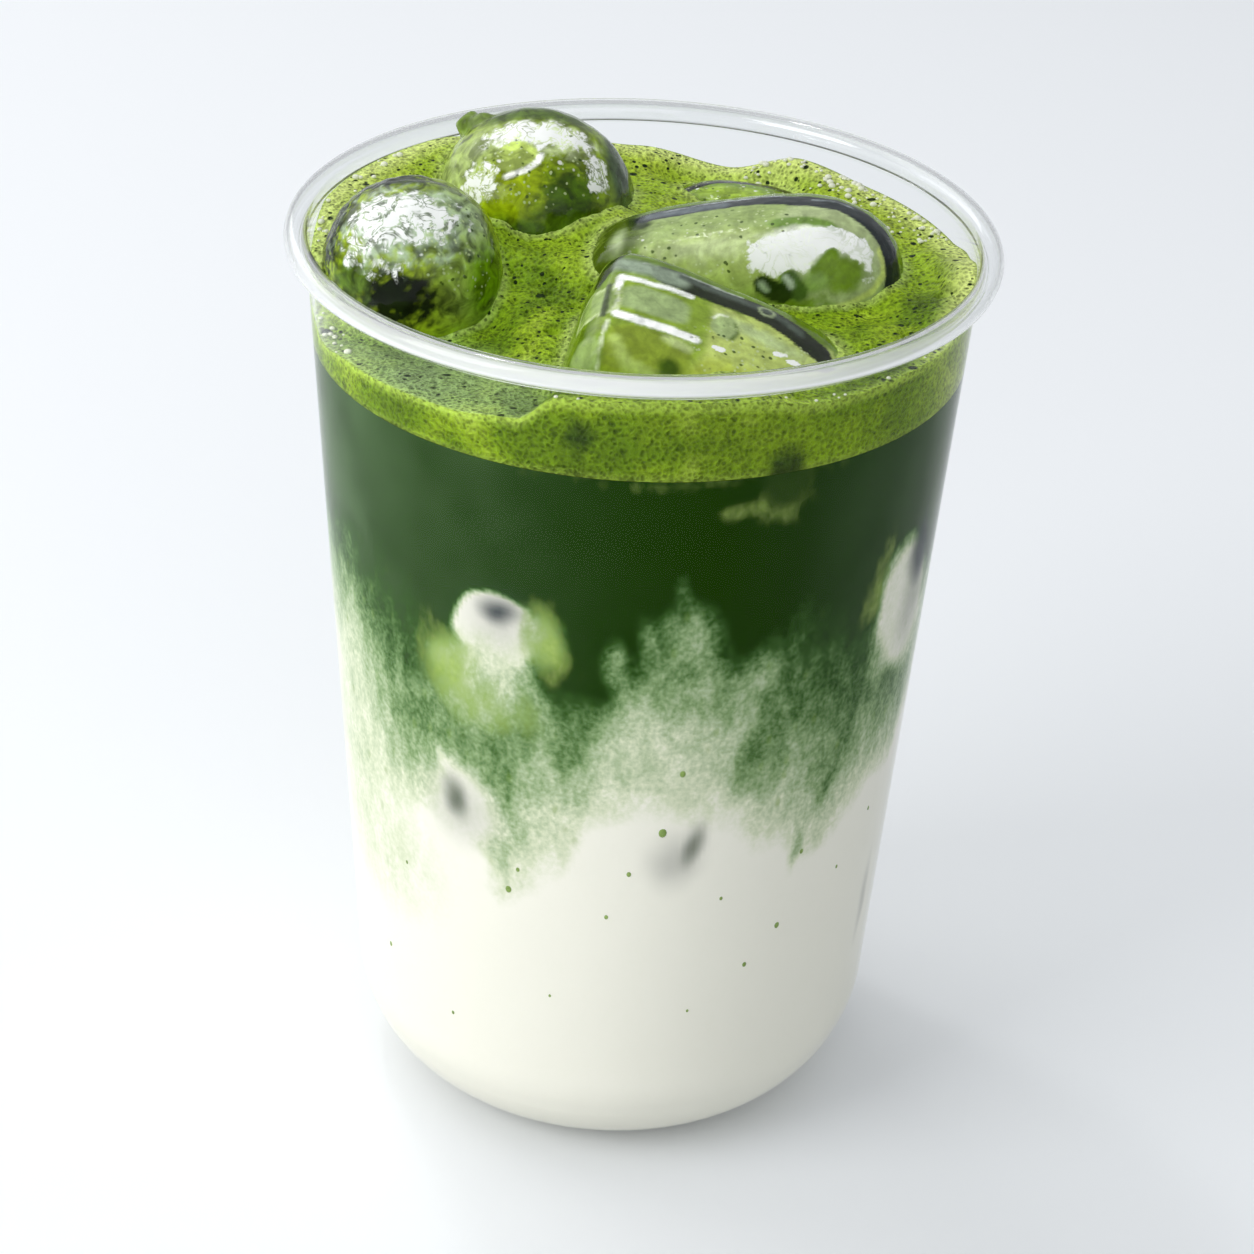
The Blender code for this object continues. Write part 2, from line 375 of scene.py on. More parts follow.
def clearPet():
    # PET, blow moulded: almost colourless, faintly uneven; against the drink it hardly shines
    material, tree = newMaterial("clearPet")
    place = addNode(tree, "TexCoord").outputs["Object"]
    ripple = addNode(tree, "TexNoise", None, {"Vector": place, "Scale": 90.0, "Detail": 2.0})
    bump = addNode(tree, "Bump", None, {"Strength": 0.05, "Distance": 0.2 * mm, "Height": ripple})
    glass = addNode(tree, "BsdfPrincipled", None, {
        "Base Color": "#fbfcfc", "Roughness": 0.03, "IOR": 1.13, "Transmission Weight": 1.0, "Normal": bump})
    finishGlass(tree, glass, "#fafbfb")
    return material


def rolledPet():
    # the same PET where it is rolled thick, glossy enough for bright lines; whiter and less clear under a
    # painted highlight on the top of the roll, strongest at the front
    material, tree = newMaterial("rolledPet")
    milky = addNode(tree, "Attribute", "milky").outputs["Fac"]
    through = addNode(tree, "Math", "SUBTRACT", (1.0, milky))
    glass = addNode(tree, "BsdfPrincipled", None, {
        "Base Color": "#fcfdfd", "Roughness": 0.04, "IOR": 1.45, "Transmission Weight": through})
    finishGlass(tree, glass, "#f0f2f2")
    return material


# Ice: the imported lumps, made smooth again and then uneven

# A mark is: colour, how clear, how soft and how torn its edge is, centre, half size, anything special.
# With no colour it is a painted white highlight, as thick as its second value, broken up by wrinkles.
# Centres and half sizes are in the lump's own directions, where 1 is its surface.
# With a row of places for its centre it is a stroke, and its size is half its width in millimetres.
plainMark = {
    "square": 2.0,   # 2 is round, more is boxier
    "line": 0.0,     # 0 fills the mark, more draws its edge that thick
    "vein": 0.0,     # how far dark veins break it up
    "turn": 0.0,     # degrees about the lump's upright direction
}

iceBlockBack = {  # long block behind the middle: a painted dark band with painted grey sheen on its crest, painted white highlights on the dome and lobes at its right
    "node": "ice_block_back", "centre": (13.3, 4.2, 114.1), "half": (20, 9.4, 10.5), "turn": (-3, -12.5, -3),
    "lump": 0.25, "grain": 0.05, "base": ("#6f9528", 0.35), "mottle": 0.2, "wrinkle": 0.35,
    "film": ((-0.05, -0.65, 0.85), (0.6, 0.6, 0.6)),
    "marks": (
        ("#90a868", 0.05, 0.12, 0.2, (-0.08, -0.36, 0.95), (0.58, 0.55, 0.5), {"square": 4}),
        ("#9db565", 0, 0.6, 0.5, (-0.12, -0.92, 0.55), (0.5, 0.34, 0.5)),
        ("#b4c691", 0, 0.8, 0.8, (-0.15, -0.8, 0.8), (0.35, 0.12, 0.3)),
        ("#55701f", 0.4, 0.25, 0.2, (-0.86, -0.1, 0.7), (0.3, 1, 0.8)),
        ("#2a3f05", 0.3, 0.6, 0.2, ((-0.58, -0.14, 0.97), (-0.63, 0.02, 0.96), (-0.65, 0.2, 0.95)), 1.1),
        # painted highlight streak at the left end
        ("#a9bd8c", 0.1, 0.8, 0.2, (-0.74, -0.38, 0.92), (0.05, 0.3, 0.2)),
        ("#a3b584", 0.1, 0.15, 0.2, (0.66, -0.55, 0.6), (0.36, 0.55, 0.8), {"square": 3}),
        ("#6f9348", 0.2, 0.2, 0.2, (0.46, -0.58, 0.86), (0.24, 0.13, 0.3)),
        # painted highlights on the dome and its lobes: pale, then white
        ("#dbe4cc", 0, 0.2, 0.2, (0.48, -0.8, 0.68), (0.32, 0.22, 0.36)),
        (None, 1.1, 0.25, 0.2, (0.3, -0.89, 0.63), (0.24, 0.18, 0.3)),
        (None, 1.1, 0.3, 0.3, ((0.3, -0.84, 0.69), (0.5, -0.77, 0.69), (0.66, -0.65, 0.64),
         (0.75, -0.62, 0.46)), 1.8),
        (None, 0.7, 0.5, 0.8, ((0.75, -0.57, 0.56), (0.8, -0.62, 0.36), (0.78, -0.7, 0.14)), 1.2),
        ("#5c8022", 0.2, 0.3, 0.2, ((0.6, -0.8, 0.5), (0.56, -0.86, 0.44), (0.5, -0.93, 0.36)), 1),
        ("#6c8f2c", 0.2, 0.4, 0.3, (0.64, -0.85, 0.28), (0.2, 0.18, 0.24)),
        ("#7d9f52", 0.1, 0.4, 0.2, (0.47, -0.95, 0.24), (0.09, 0.12, 0.12)),
        ("#46652a", 0.2, 0.3, 0.3, ((0.32, -0.98, 0.32), (0.36, -0.98, 0.17)), 1.3),
        ("#203310", 0.1, 0.18, 0.3, ((0.16, -0.99, 0.3), (0.2, -1, 0.24), (0.26, -0.99, 0.17)), 1.35),
        ("#9db392", 0.1, 0.9, 0.6, ((0.145, -0.99, 0.33), (0.17, -0.99, 0.24)), 0.4),
        ("#b4c4ae", 0.1, 0.9, 0.6, ((0.3, -0.98, 0.36), (0.33, -0.98, 0.24)), 0.36),
        ("#b9cc7a", 0, 0.5, 0.3, ((0.2, -0.99, -0.02), (0.4, -0.96, -0.12), (0.63, -0.88, -0.12),
         (0.81, -0.68, -0.05), (0.89, -0.56, 0.1), (0.88, -0.46, 0.36)), 0.5),
        # painted dark band along the crest, standing in for the dark its edge refracts, then painted grey
        # sheen in it
        ("#20262a", 0.1, 0.08, 0.06, ((-0.56, 0.16, 0.97), (-0.28, 0.17, 0.99), (-0.1, 0.18, 0.99),
         (0.1, 0.16, 0.99), (0.3, 0.11, 0.98), (0.48, 0.04, 0.96), (0.66, -0.02, 0.87), (0.8, -0.1, 0.68),
         (0.9, -0.22, 0.46), (0.95, -0.34, 0.22), (0.96, -0.42, 0), (0.94, -0.5, -0.2)), 1.75),
        ("#626a70", 0.1, 0.7, 0.2, ((-0.54, 0.16, 0.97), (-0.28, 0.15, 0.99), (-0.08, 0.12, 0.99)), 1),
        ("#a3abad", 0, 0.6, 1.2, ((-0.5, 0.27, 0.96), (-0.1, 0.31, 0.99), (0.3, 0.26, 0.98)), 0.28),
        ("#7f888c", 0, 0.6, 0.8, ((0.5, 0.1, 0.95), (0.72, 0.04, 0.8), (0.88, -0.1, 0.5)), 0.25),
    ),
}
iceBlockFront = {  # tilted block in front: cells framed by painted white highlights, and a painted dark band with painted grey sheen along its crest
    "node": "ice_block_front", "centre": (9.2, -20.4, 106.8), "half": (19.4, 11.9, 13.8), "turn": (12, 18, -4),
    "lump": 0.2, "grain": 0.03, "base": ("#6f9528", 0.35), "mottle": 0.2, "wrinkle": 0.1,
    "film": ((0.3, -0.4, 1), (0.7, 0.6, 0.5)),
    "marks": (
        ("#adc26c", 0.05, 0.1, 0.2, (0.25, -0.35, 1), (0.8, 0.68, 0.5), {"square": 5}),
        ("#a3b84a", 0, 0.6, 0.6, (0.1, -0.75, 0.95), (0.45, 0.22, 0.4)),
        ("#a9be85", 0, 0.7, 0.5, (0.08, 0.06, 1), (0.3, 0.1, 0.4), {"turn": -15}),
        ("#84a53c", 0.15, 0.12, 0.05, (-0.6, -0.2, 0.95), (0.34, 0.6, 0.6), {"square": 5}),
        ("#9bb47a", 0.1, 0.15, 0.05, (-0.62, -0.02, 0.96), (0.22, 0.2, 0.4), {"square": 4}),
        ("#8aa53c", 0.2, 0.12, 0.1, (-0.58, -0.72, 0.9), (0.27, 0.26, 0.5), {"square": 3.5}),
        # painted highlights in the lower cell
        ("#a5c067", 0.1, 0.8, 0.6, ((-0.8, -0.71, 0.94), (-0.67, -0.91, 0.85), (-0.5, -0.93, 0.83)), 0.8),
        ("#b4ca85", 0.1, 0.8, 0.5, ((-0.5, -0.5, 0.98), (-0.36, -0.53, 0.99)), 0.7),
        ("#3d5c0c", 0.2, 0.5, 0.3, (-0.43, -0.83, 0.93), (0.07, 0.1, 0.2)),
        # painted white highlights along the frames of the cells
        ("#f6f9f2", 0, 0.35, 0.2, ((-0.86, 0.29, 0.94), (-0.69, 0.26, 0.98), (-0.55, 0.29, 0.99),
         (-0.42, 0.29, 1)), 0.5),
        ("#f6f9f2", 0, 0.35, 0.2, ((-0.86, 0.29, 0.94), (-0.87, 0.03, 0.93), (-0.85, -0.3, 0.94)), 0.5),
        ("#f8faf5", 0, 0.3, 0.25, ((-0.82, -0.33, 0.95), (-0.69, -0.37, 0.98), (-0.53, -0.36, 0.99),
         (-0.33, -0.36, 1)), 0.72),
        ("#d6e1c2", 0, 0.9, 0.6, ((-0.87, -0.45, 0.93), (-0.87, -0.79, 0.88), (-0.84, -0.93, 0.7)), 0.24),
        ("#8eaa62", 0.1, 0.12, 0.2, (-0.97, -0.12, 0.8), (0.12, 0.2, 0.24), {"square": 4}),
        ("#b4c78f", 0, 0.8, 0.3, (-0.97, -0.12, 0.8), (0.13, 0.22, 0.26), {"square": 4, "line": 0.08}),
        ("#31480f", 0.2, 0.5, 0.3, ((-0.91, 0.14, 0.89), (-0.905, -0.36, 0.9)), 0.45),
        ("#8aa660", 0.1, 0.2, 0.2, (-0.94, -0.82, 0.7), (0.1, 0.16, 0.2), {"square": 3}),
        ("#1c2d0c", 0.1, 0.3, 0.5, ((-0.93, 0.64, 0.85), (-0.96, 0.45, 0.81), (-0.98, 0.32, 0.76)), 1.3),
        ("#9db57a", 0.05, 0.15, 0.2, (-0.165, -0.01, 1), (0.09, 0.17, 0.4)),
        # the dimple: a painted highlight along one side and painted shade along the other
        ("#dfe9cf", 0, 0.8, 0.4, ((-0.25, 0.08, 1), (-0.22, 0.17, 1), (-0.17, 0.18, 1)), 0.22),
        ("#5f7a38", 0.1, 0.8, 0.4, ((-0.11, 0.1, 1), (-0.08, -0.02, 1), (-0.11, -0.16, 1)), 0.25),
        # painted glints
        (None, 0.9, 0.2, 0.2, (-0.17, -0.37, 1), (0.05, 0.05, 0.2)),
        (None, 0.9, 0.2, 0.2, (0.2, -0.09, 1), (0.04, 0.04, 0.2)),
        (None, 0.9, 0.2, 0.2, (0.3, -0.14, 1), (0.05, 0.04, 0.2)),
        # painted dark band along the crest, standing in for the dark its edge refracts, then painted grey
        # sheen in it
        ("#1b2511", 0.1, 0.08, 0.08, ((-0.6, 0.49, 0.97), (-0.45, 0.48, 0.99), (-0.23, 0.47, 1),
         (-0.01, 0.47, 1), (0.14, 0.44, 1), (0.28, 0.34, 1), (0.44, 0.2, 1)), 1.85),
        ("#1b2511", 0.1, 0.1, 0.1, ((0.28, 0.34, 1), (0.44, 0.2, 1), (0.57, 0.02, 0.98), (0.67, -0.2, 0.92),
         (0.74, -0.45, 0.8)), 1.5),
        ("#8fa08a", 0.1, 0.5, 0.2, ((-0.86, 0.52, 0.93), (-0.66, 0.49, 0.97), (-0.52, 0.49, 0.98)), 1.5),
        ("#4b564c", 0.1, 0.8, 0.5, ((-0.5, 0.56, 0.98), (-0.2, 0.55, 0.99), (0.1, 0.53, 0.99),
         (0.3, 0.38, 0.99)), 0.6),
        ("#a7b3a4", 0, 0.6, 1, ((-0.75, 0.6, 0.95), (-0.4, 0.62, 0.98), (-0.1, 0.62, 0.99)), 0.22),
        ("#8fa07a", 0, 0.7, 0.4, (0.07, 0.51, 0.99), (0.045, 0.07, 0.2), {"line": 0.25}),
    ),
}
icePieceBack = {  # low piece behind: hardly more than a painted dark band, standing in for the dark its edge refracts, with a painted highlight line
    "node": "ice_piece_back", "centre": (12.6, 28.8, 110.7), "half": (10.4, 6.6, 6.6), "turn": (-8, 0, -12),
    "lump": 0.2, "grain": 0.05, "base": ("#5d7f1e", 0), "mottle": 0.5, "wrinkle": 0,
    "film": ((0, -0.4, 0.9), (1, 1, 0.5)),
    "marks": (
        ("#86a540", 0, 0.6, 0.6, (0, -0.5, 0.9), (0.7, 0.3, 0.5)),
        # painted dark band, then a painted highlight line along it
        ("#0d1508", 0.1, 0.12, 0.1, ((-0.78, -0.4, 0.76), (-0.62, -0.16, 0.88), (-0.42, 0.06, 0.95),
         (-0.2, 0.2, 0.98), (0.05, 0.27, 0.98), (0.3, 0.28, 0.96), (0.55, 0.24, 0.88),
         (0.72, 0.1, 0.78)), 1.15),
        ("#6f7a6f", 0, 0.6, 0.8, ((-0.5, 0.04, 0.93), (-0.1, 0.36, 0.95)), 0.14),
    ),
}
iceBallLeft = {  # ball at the left: a crinkled painted white highlight on its top, and a painted dark foot and dark edges standing in for the dark its clear ice would refract
    "node": "ice_ball_left", "centre": (-28.9, -1.9, 117), "half": (11.5, 11.5, 11.5), "turn": (0, 0, 0),
    "lump": 0.3, "grain": 0.12, "base": ("#86a32c", 0.25), "mottle": 0.8, "wrinkle": 1,
    "film": ((0.55, -0.6, 0.5), (0.5, 0.6, 0.6)),
    "marks": (
        ("#7f9a48", 0.2, 0.45, 0.2, (0.68, -0.66, 0.35), (0.45, 0.6, 0.65)),
        ("#5f8a1c", 0.3, 0.5, 0.2, (0.85, -0.45, 0.1), (0.25, 0.4, 0.4)),
        ("#869c6f", 0.1, 0.5, 0.4, (0.5, -0.3, 0.82), (0.42, 0.45, 0.36)),
        # painted dark foot and dark edges, standing in for the dark the clear ice would refract
        ("#0f1a06", 0.15, 0.4, 0.9, (-0.12, -0.98, 0.06), (0.52, 0.4, 0.34), {"vein": 0.3}),
        ("#182510", 0.2, 0.3, 0.6, (-0.95, -0.05, 0.45), (0.4, 0.6, 0.7), {"vein": 0.8}),
        ("#26341c", 0.2, 0.4, 0.7, (-0.3, 0.16, 0.95), (0.6, 0.22, 0.26), {"vein": 0.5}),
        ("#4d6a22", 0.2, 0.4, 0.8, (-0.6, -0.78, 0.2), (0.22, 0.22, 0.25)),
        # painted highlight on the top: a pale halo, then crinkled white
        ("#8a9c80", 0, 0.35, 0.9, (-0.1, -0.55, 0.8), (0.7, 0.44, 0.46)),
        (None, 1, 0.5, 0.5, (-0.1, -0.52, 0.83), (0.62, 0.36, 0.36)),
        (None, 0.8, 0.5, 0.8, (-0.55, -0.62, 0.52), (0.18, 0.24, 0.26)),
        (None, 0.55, 0.7, 0.8, (-0.25, -0.88, 0.36), (0.32, 0.2, 0.14)),
    ),
}
iceBallBack = {  # ball at the back: yellower, with a nub and a lens of ice in front, painted white highlights on its top and a painted dark band at its right
    "node": "ice_ball_back", "centre": (-14.7, 22.5, 115.4), "half": (13.4, 13.4, 13.4), "turn": (0, 0, 0),
    "lump": 0.2, "grain": 0.04, "base": ("#7d9a28", 0.25), "mottle": 0.6, "wrinkle": 0.85,
    "film": ((0, -0.6, 0.75), (0.7, 0.5, 0.5)), "beads": ((-21.8, 26, 125.2, 2),),
    "marks": (
        ("#8fa560", 0.1, 0.5, 0.3, (-0.7, -0.35, 0.6), (0.38, 0.45, 0.45)),
        ("#87a024", 0.1, 0.5, 0.5, (-0.2, -0.84, 0.45), (0.48, 0.36, 0.42)),
        ("#3c5c0e", 0.2, 0.5, 0.6, (0.38, -0.8, 0.42), (0.34, 0.34, 0.4), {"vein": 0.4}),
        ("#46651a", 0.2, 0.6, 0.6, (0.05, -0.95, 0.18), (0.5, 0.3, 0.14)),
        ("#4a6620", 0.2, 0.4, 0.2, (0, 0.15, 0.98), (0.7, 0.28, 0.22)),
        # painted highlight on the top: a pale halo, then crinkled white
        ("#a9ba88", 0, 0.4, 0.8, (0.05, -0.34, 0.92), (0.62, 0.22, 0.3)),
        (None, 1, 0.5, 0.5, (0.03, -0.31, 0.93), (0.62, 0.18, 0.26)),
        (None, 0.9, 0.5, 0.8, (0.62, -0.48, 0.6), (0.14, 0.22, 0.26)),
        (None, 0.9, 0.5, 0.8, (-0.5, -0.66, 0.52), (0.22, 0.2, 0.22)),
        ("#a3bc63", 0, 0.08, 0.2, (-0.17, -0.58, 0.79), (0.2, 0.17, 0.2)),
        # painted glint
        ("#fbfdf6", 0, 0.4, 0.2, ((-0.25, -0.73, 0.63), (-0.07, -0.71, 0.7), (0.03, -0.65, 0.76),
         (0.07, -0.58, 0.81)), 0.42),
        # painted dark band at the right, standing in for the dark its edge refracts
        ("#3f5632", 0.3, 0.25, 0.1, (0.92, 0.05, 0.5), (0.3, 0.62, 0.62)),
        ("#6d8a3c", 0.3, 0.3, 0.2, (-0.64, 0.38, 0.9), (0.28, 0.3, 0.3)),
    ),
}
iceLumps = {
    "iceBlockBack": iceBlockBack, "iceBlockFront": iceBlockFront, "icePieceBack": icePieceBack,
    "iceBallLeft": iceBallLeft, "iceBallBack": iceBallBack,
}


def smoothIce(name, look):
    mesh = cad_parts[look["node"]].data.copy()
    obj = bpy.data.objects.new(name, mesh)
    bpy.context.scene.collection.objects.link(obj)
    mesh.materials.clear()
    activate(obj)
    bpy.ops.object.mode_set(mode="EDIT")
    bpy.ops.mesh.select_all(action="SELECT")
    bpy.ops.mesh.remove_doubles(threshold=0.01 * mm)
    for x, y, z, radius in look.get("beads", ()):
        bpy.ops.mesh.primitive_ico_sphere_add(subdivisions=3, radius=radius * mm,
                                              location=(x * mm, y * mm, z * mm))
    bpy.ops.object.mode_set(mode="OBJECT")
    applied(obj, "REMESH", mode="VOXEL", voxel_size=0.32 * mm)
    applied(obj, "SMOOTH", factor=0.5, iterations=20)
    applied(obj, "DISPLACE", strength=0.1 * mm, mid_level=0.0)  # gives back what smoothing took
    activate(obj)
    bpy.ops.object.shade_smooth()
    return obj


def lumpPlaces(obj, look):
    # the mesh in the lump's own directions, where 1 is its surface
    turn = np.array(Euler([math.radians(a) for a in look["turn"]]).to_matrix())
    return (places(obj) - np.array(look["centre"])) @ turn / np.array(look["half"])


def unevenIce(obj, look):
    rows = places(obj)
    lumps = cloud(rows, 7.0, 1) * look["lump"] + cloud(rows, 1.7, 2, 2) * look["grain"]
    normals = np.empty(rows.size)
    obj.data.vertices.foreach_get("normal", normals)
    rows += normals.reshape(-1, 3) * lumps[:, None]
    obj.data.vertices.foreach_set("co", (rows * mm).ravel())
    obj.data.update()


def strokeReach(rows, corners):
    # distance in millimetres to a line through some places
    best = np.full(len(rows), 1000.0)
    for a, b in zip(corners, corners[1:]):
        t = np.clip((rows - a) @ (b - a) / ((b - a) @ (b - a)), 0, 1)
        best = np.minimum(best, np.linalg.norm(rows - a - t[:, None] * (b - a), axis=1))
    return best


def paintIce(obj, look):
    rows, local, half = places(obj), lumpPlaces(obj, look), np.array(look["half"])
    ragged = cloud(rows, 1.3, 5, 3)
    veins = np.abs(cloud(rows * np.array((1, 1, 1.5)), 2.0, 8, 2))
    colour = np.tile(hexLinear(look["base"][0])[:3], (len(rows), 1))
    clear = np.full(len(rows), look["base"][1])
    frost = np.zeros(len(rows))
    for shade, see, soft, rag, centre, size, *special in look["marks"]:
        kind = {**plainMark, **(special[0] if special else {})}
        turn, power = math.radians(kind["turn"]), kind["square"]
        if isinstance(centre[0], tuple):
            reach = strokeReach(local * half, np.array(centre) * half) / size
        else:
            away = local - np.array(centre)
            away = np.column_stack((away[:, 0] * math.cos(turn) + away[:, 1] * math.sin(turn),
                                    -away[:, 0] * math.sin(turn) + away[:, 1] * math.cos(turn), away[:, 2]))
            reach = (np.abs(away / np.array(size)) ** power).sum(axis=1) ** (1 / power)
        reach += ragged * rag * 0.6 + np.clip(0.16 - veins, 0, 1) * 4 * kind["vein"]
        if kind["line"]:
            reach = np.abs(reach - 1) / kind["line"]
        share = ease(1 + soft, 1 - soft, reach)
        # a mark with no colour is a painted white highlight laid over the colours under it
        if shade is None:
            frost = np.maximum(frost, share * see)
            continue
        colour = colour * (1 - share[:, None]) + np.array(hexLinear(shade)[:3]) * share[:, None]
        clear = clear * (1 - share) + see * share
        frost *= 1 - share
    keepColours(obj, "tint", colour)
    keepNumbers(obj, "clear", clear)
    keepNumbers(obj, "frost", frost)
    centre, size = look["film"]
    reach = np.sqrt((((local - np.array(centre)) / np.array(size)) ** 2).sum(axis=1))
    keepNumbers(obj, "film", ease(1.1, 0.8, reach))


def makeIce():
    lumps, pockets = [], []
    for name, look in iceLumps.items():
        obj = smoothIce(name, look)
        pocket = obj.copy()
        pocket.data = obj.data.copy()
        pocket.name = name + "Pocket"
        bpy.context.scene.collection.objects.link(pocket)
        applied(pocket, "DISPLACE", strength=-(look["lump"] * 0.6 + 0.1) * mm, mid_level=0.0)
        applied(pocket, "DECIMATE", ratio=0.12)
        unevenIce(obj, look)
        paintIce(obj, look)
        dress(obj, wetIce(look), [look["node"]])
        lumps.append(obj)
        pockets.append(pocket)
    return lumps, pockets


def wetIce(look):
    # water ice with tea inside it: glassy and wet, with froth and small bubbles on it, and painted white
    # highlights
    material, tree = newMaterial("wetIce")
    place = addNode(tree, "TexCoord").outputs["Object"]
    color = addNode(tree, "Attribute", "tint").outputs["Color"]
    layer = {name: addNode(tree, "Attribute", name).outputs["Fac"] for name in ("clear", "film", "frost")}
    fine = addNode(tree, "TexNoise", None, {"Vector": place, "Scale": 650.0, "Detail": 4.0, "Roughness": 0.65})
    # tea caught in it: fine mottling, and darker and brighter streaks
    streaks = addNode(tree, "TexNoise", None, {
        "Vector": place, "Scale": 380.0, "Detail": 3.0, "Distortion": 1.2})
    for pattern, low, high, darkest, lightest in (
            (fine, 0.3, 0.7, 0.8, 1.2),
            (streaks, 0.36, 0.64, 1 - 0.7 * look["mottle"], 1 + 0.95 * look["mottle"])):
        tone = addNode(tree, "MapRange", None, (pattern, low, high, darkest, lightest))
        color = addNode(tree, "Mix", {"data_type": "RGBA", "blend_type": "MULTIPLY"}, (1.0, color, tone))
    color = addNode(tree, "HueSaturation", None, {
        "Hue": 0.487, "Saturation": 1.04, "Value": 1.12, "Color": color})
    # froth stuck to it: pale and dark points, and a few white points that are painted glints
    pull = drifted(tree, place, 500.0, 0.8 * mm)
    for scale, size, share, shade in ((1500.0, 0.34, 0.40, "#c6d69c"), (1000.0, 0.3, 0.40, "#30480f"),
                                      (620.0, 0.20, 0.30, "#fbfcf7")):
        dot = scatterDots(tree, pull, scale, share, size, size * 0.6, 0.85)
        dot = addNode(tree, "Math", "MULTIPLY", (dot, layer["film"]))
        color = addNode(tree, "Mix", "RGBA", (dot, color, shade))
    # painted white highlights with thin dark wrinkles through them
    patch, fold = (addNode(tree, "TexNoise", None, {
        "Vector": place, "Scale": scale, "Detail": detail, "Roughness": 0.6, "Distortion": bend})
        for scale, detail, bend in ((620.0, 4.0, 0.6), (330.0, 3.0, 1.3)))
    fold = addNode(tree, "Math", "SUBTRACT", (fold, 0.5))
    fold = addNode(tree, "Math", "ABSOLUTE", {0: fold})
    crease = addNode(tree, "MapRange", None, (fold, 0.006, 0.045, 1 - 0.95 * look["wrinkle"], 1.0))
    thick = addNode(tree, "MapRange", None, (patch, 0.3, 0.7, -0.42, 0.42))
    thick = addNode(tree, "Math", "ADD", (thick, layer["frost"]))
    white = addNode(tree, "MapRange", None, (thick, 0.42, 0.78, 0.0, 1.0))
    white = addNode(tree, "Math", "MULTIPLY", (white, crease))
    color = addNode(tree, "Mix", "RGBA", (white, color, "#fbfdf9"))
    bare = addNode(tree, "Math", "SUBTRACT", (1.0, white))
    see = addNode(tree, "Math", "MULTIPLY", (layer["clear"], bare))
    bump = addNode(tree, "Bump", None, {"Strength": 0.3, "Distance": 0.2 * mm, "Height": fine})
    glass = addNode(tree, "BsdfPrincipled", None, {
        "Base Color": color, "Roughness": 0.07, "IOR": 1.31, "Specular IOR Level": 0.45,
        "Transmission Weight": see, "Normal": bump})
    finishGlass(tree, glass, "#e4eed8")
    return material


# Froth: height from the marks between the ice and along the wall

froth = {
    "level": 108.7 * mm,
    "rings": 84,
    "steps": 460,
    "edge": (  # degrees round from the front, height in millimetres
        (-178, 117.6), (-160, 119.0), (-136, 121.4), (-104, 121.3), (-88, 119.0),
        (-70, 112.0), (-56, 113.4), (-32, 114.0), (-20, 115.0), (-12, 118.8),
        (4, 119.2), (18, 118.9), (32, 117.3), (61, 117.4), (76, 118.6),
        (88, 120.6), (98, 119.0), (108, 117.9), (134, 118.0), (150, 118.9), (165, 115.7),
    ),
    "marks": (  # across, away from the front, up
        (-20.5, 9.5, 118.8), (-14.0, 7.5, 117.2), (-6.5, 13.5, 119.2), (-7.5, 4.0, 117.7),
        (-13.0, -8.0, 115.0), (-17.5, -3.5, 115.0), (-21.0, -9.5, 112.2), (-25.5, -12.5, 111.6),
        (-18.0, -19.0, 112.8), (-14.0, -30.0, 114.0), (-9.5, -20.0, 114.3), (18.0, -7.5, 115.6),
        (26.0, -6.5, 115.8), (33.5, -1.0, 117.3), (25.0, -22.5, 116.0), (31.0, -16.0, 116.9),
        (-2.0, 22.5, 117.8), (0.0, 28.0, 117.0), (14.0, 24.0, 116.4), (26.0, 20.0, 117.6),
        (7.0, 35.5, 114.8), (12.0, 33.5, 114.6), (17.0, 34.0, 114.9),
    ),
    "lump": 0.35 * mm,        # height of broad swells, and of the fine unevenness
    "fizz": 0.10 * mm,
    "lip": 0.35 * mm,         # how far it climbs the ice, and how near the ice
    "lipReach": 0.7 * mm,
    "pits": 420,
    "pitSizes": (0.3, 0.35, 0.4, 0.5, 0.65),
    "pitDepth": 1.1,          # times a pit's half size
    # bubbles: degrees from and to, width of their belt, how many
    "bubbles": ((108, 160, 6.0, 120), (-128, -62, 3.0, 34), (-20, 60, 1.4, 10)),
    "bubbleSizes": (0.16, 0.2, 0.24, 0.28, 0.35, 0.5),
    "bigPits": (  # across, away from the front, half size, all in millimetres, and turn
        (-11.1, 0.0, 0.85, 0.1), (-11.4, -1.8, 0.65, 0.2), (-10.5, -13.0, 0.85, 0.1), (-13.0, 0.9, 0.5, 0.4),
        (-8.3, -6.6, 0.6, 0.9), (-13.3, -17.0, 0.5, 0.2), (38.0, -5.6, 1.25, 0.5), (28.5, -18.9, 0.85, 0.1),
        (26.8, -14.8, 0.6, 0.4), (32.3, -14.4, 0.5, 0.7), (24.5, 30.5, 0.6, 0.2), (-4.0, 33.0, 0.6, 1.0),
    ),
}


def frothEdge(x, y):
    degrees = math.degrees(math.atan2(x, -y))
    first = froth["edge"][0]
    marks = froth["edge"] + ((first[0] + 360, first[1]),)
    if degrees < first[0]:
        degrees += 360
    for (a0, z0), (a1, z1) in zip(marks, marks[1:]):
        if a0 <= degrees <= a1:
            t = (degrees - a0) / (a1 - a0)
            return (z0 + (z1 - z0) * t * t * (3 - 2 * t)) * mm
    return first[1] * mm


def frothTop(x, y):
    edge = frothEdge(x, y)
    total = weights = 0.0
    for mx, my, mz in froth["marks"]:
        weight = 1.0 / ((x / mm - mx) ** 2 + (y / mm - my) ** 2 + 4.0) ** 2
        total += weight * mz * mm
        weights += weight
    away = max((wallRadius(edge, cup["wall"]) - math.hypot(x, y)) / mm, 0.0)
    weight = 1.0 / (away ** 2 * 1.3 + 0.05) ** 2
    return (total + weight * edge) / (weights + weight)


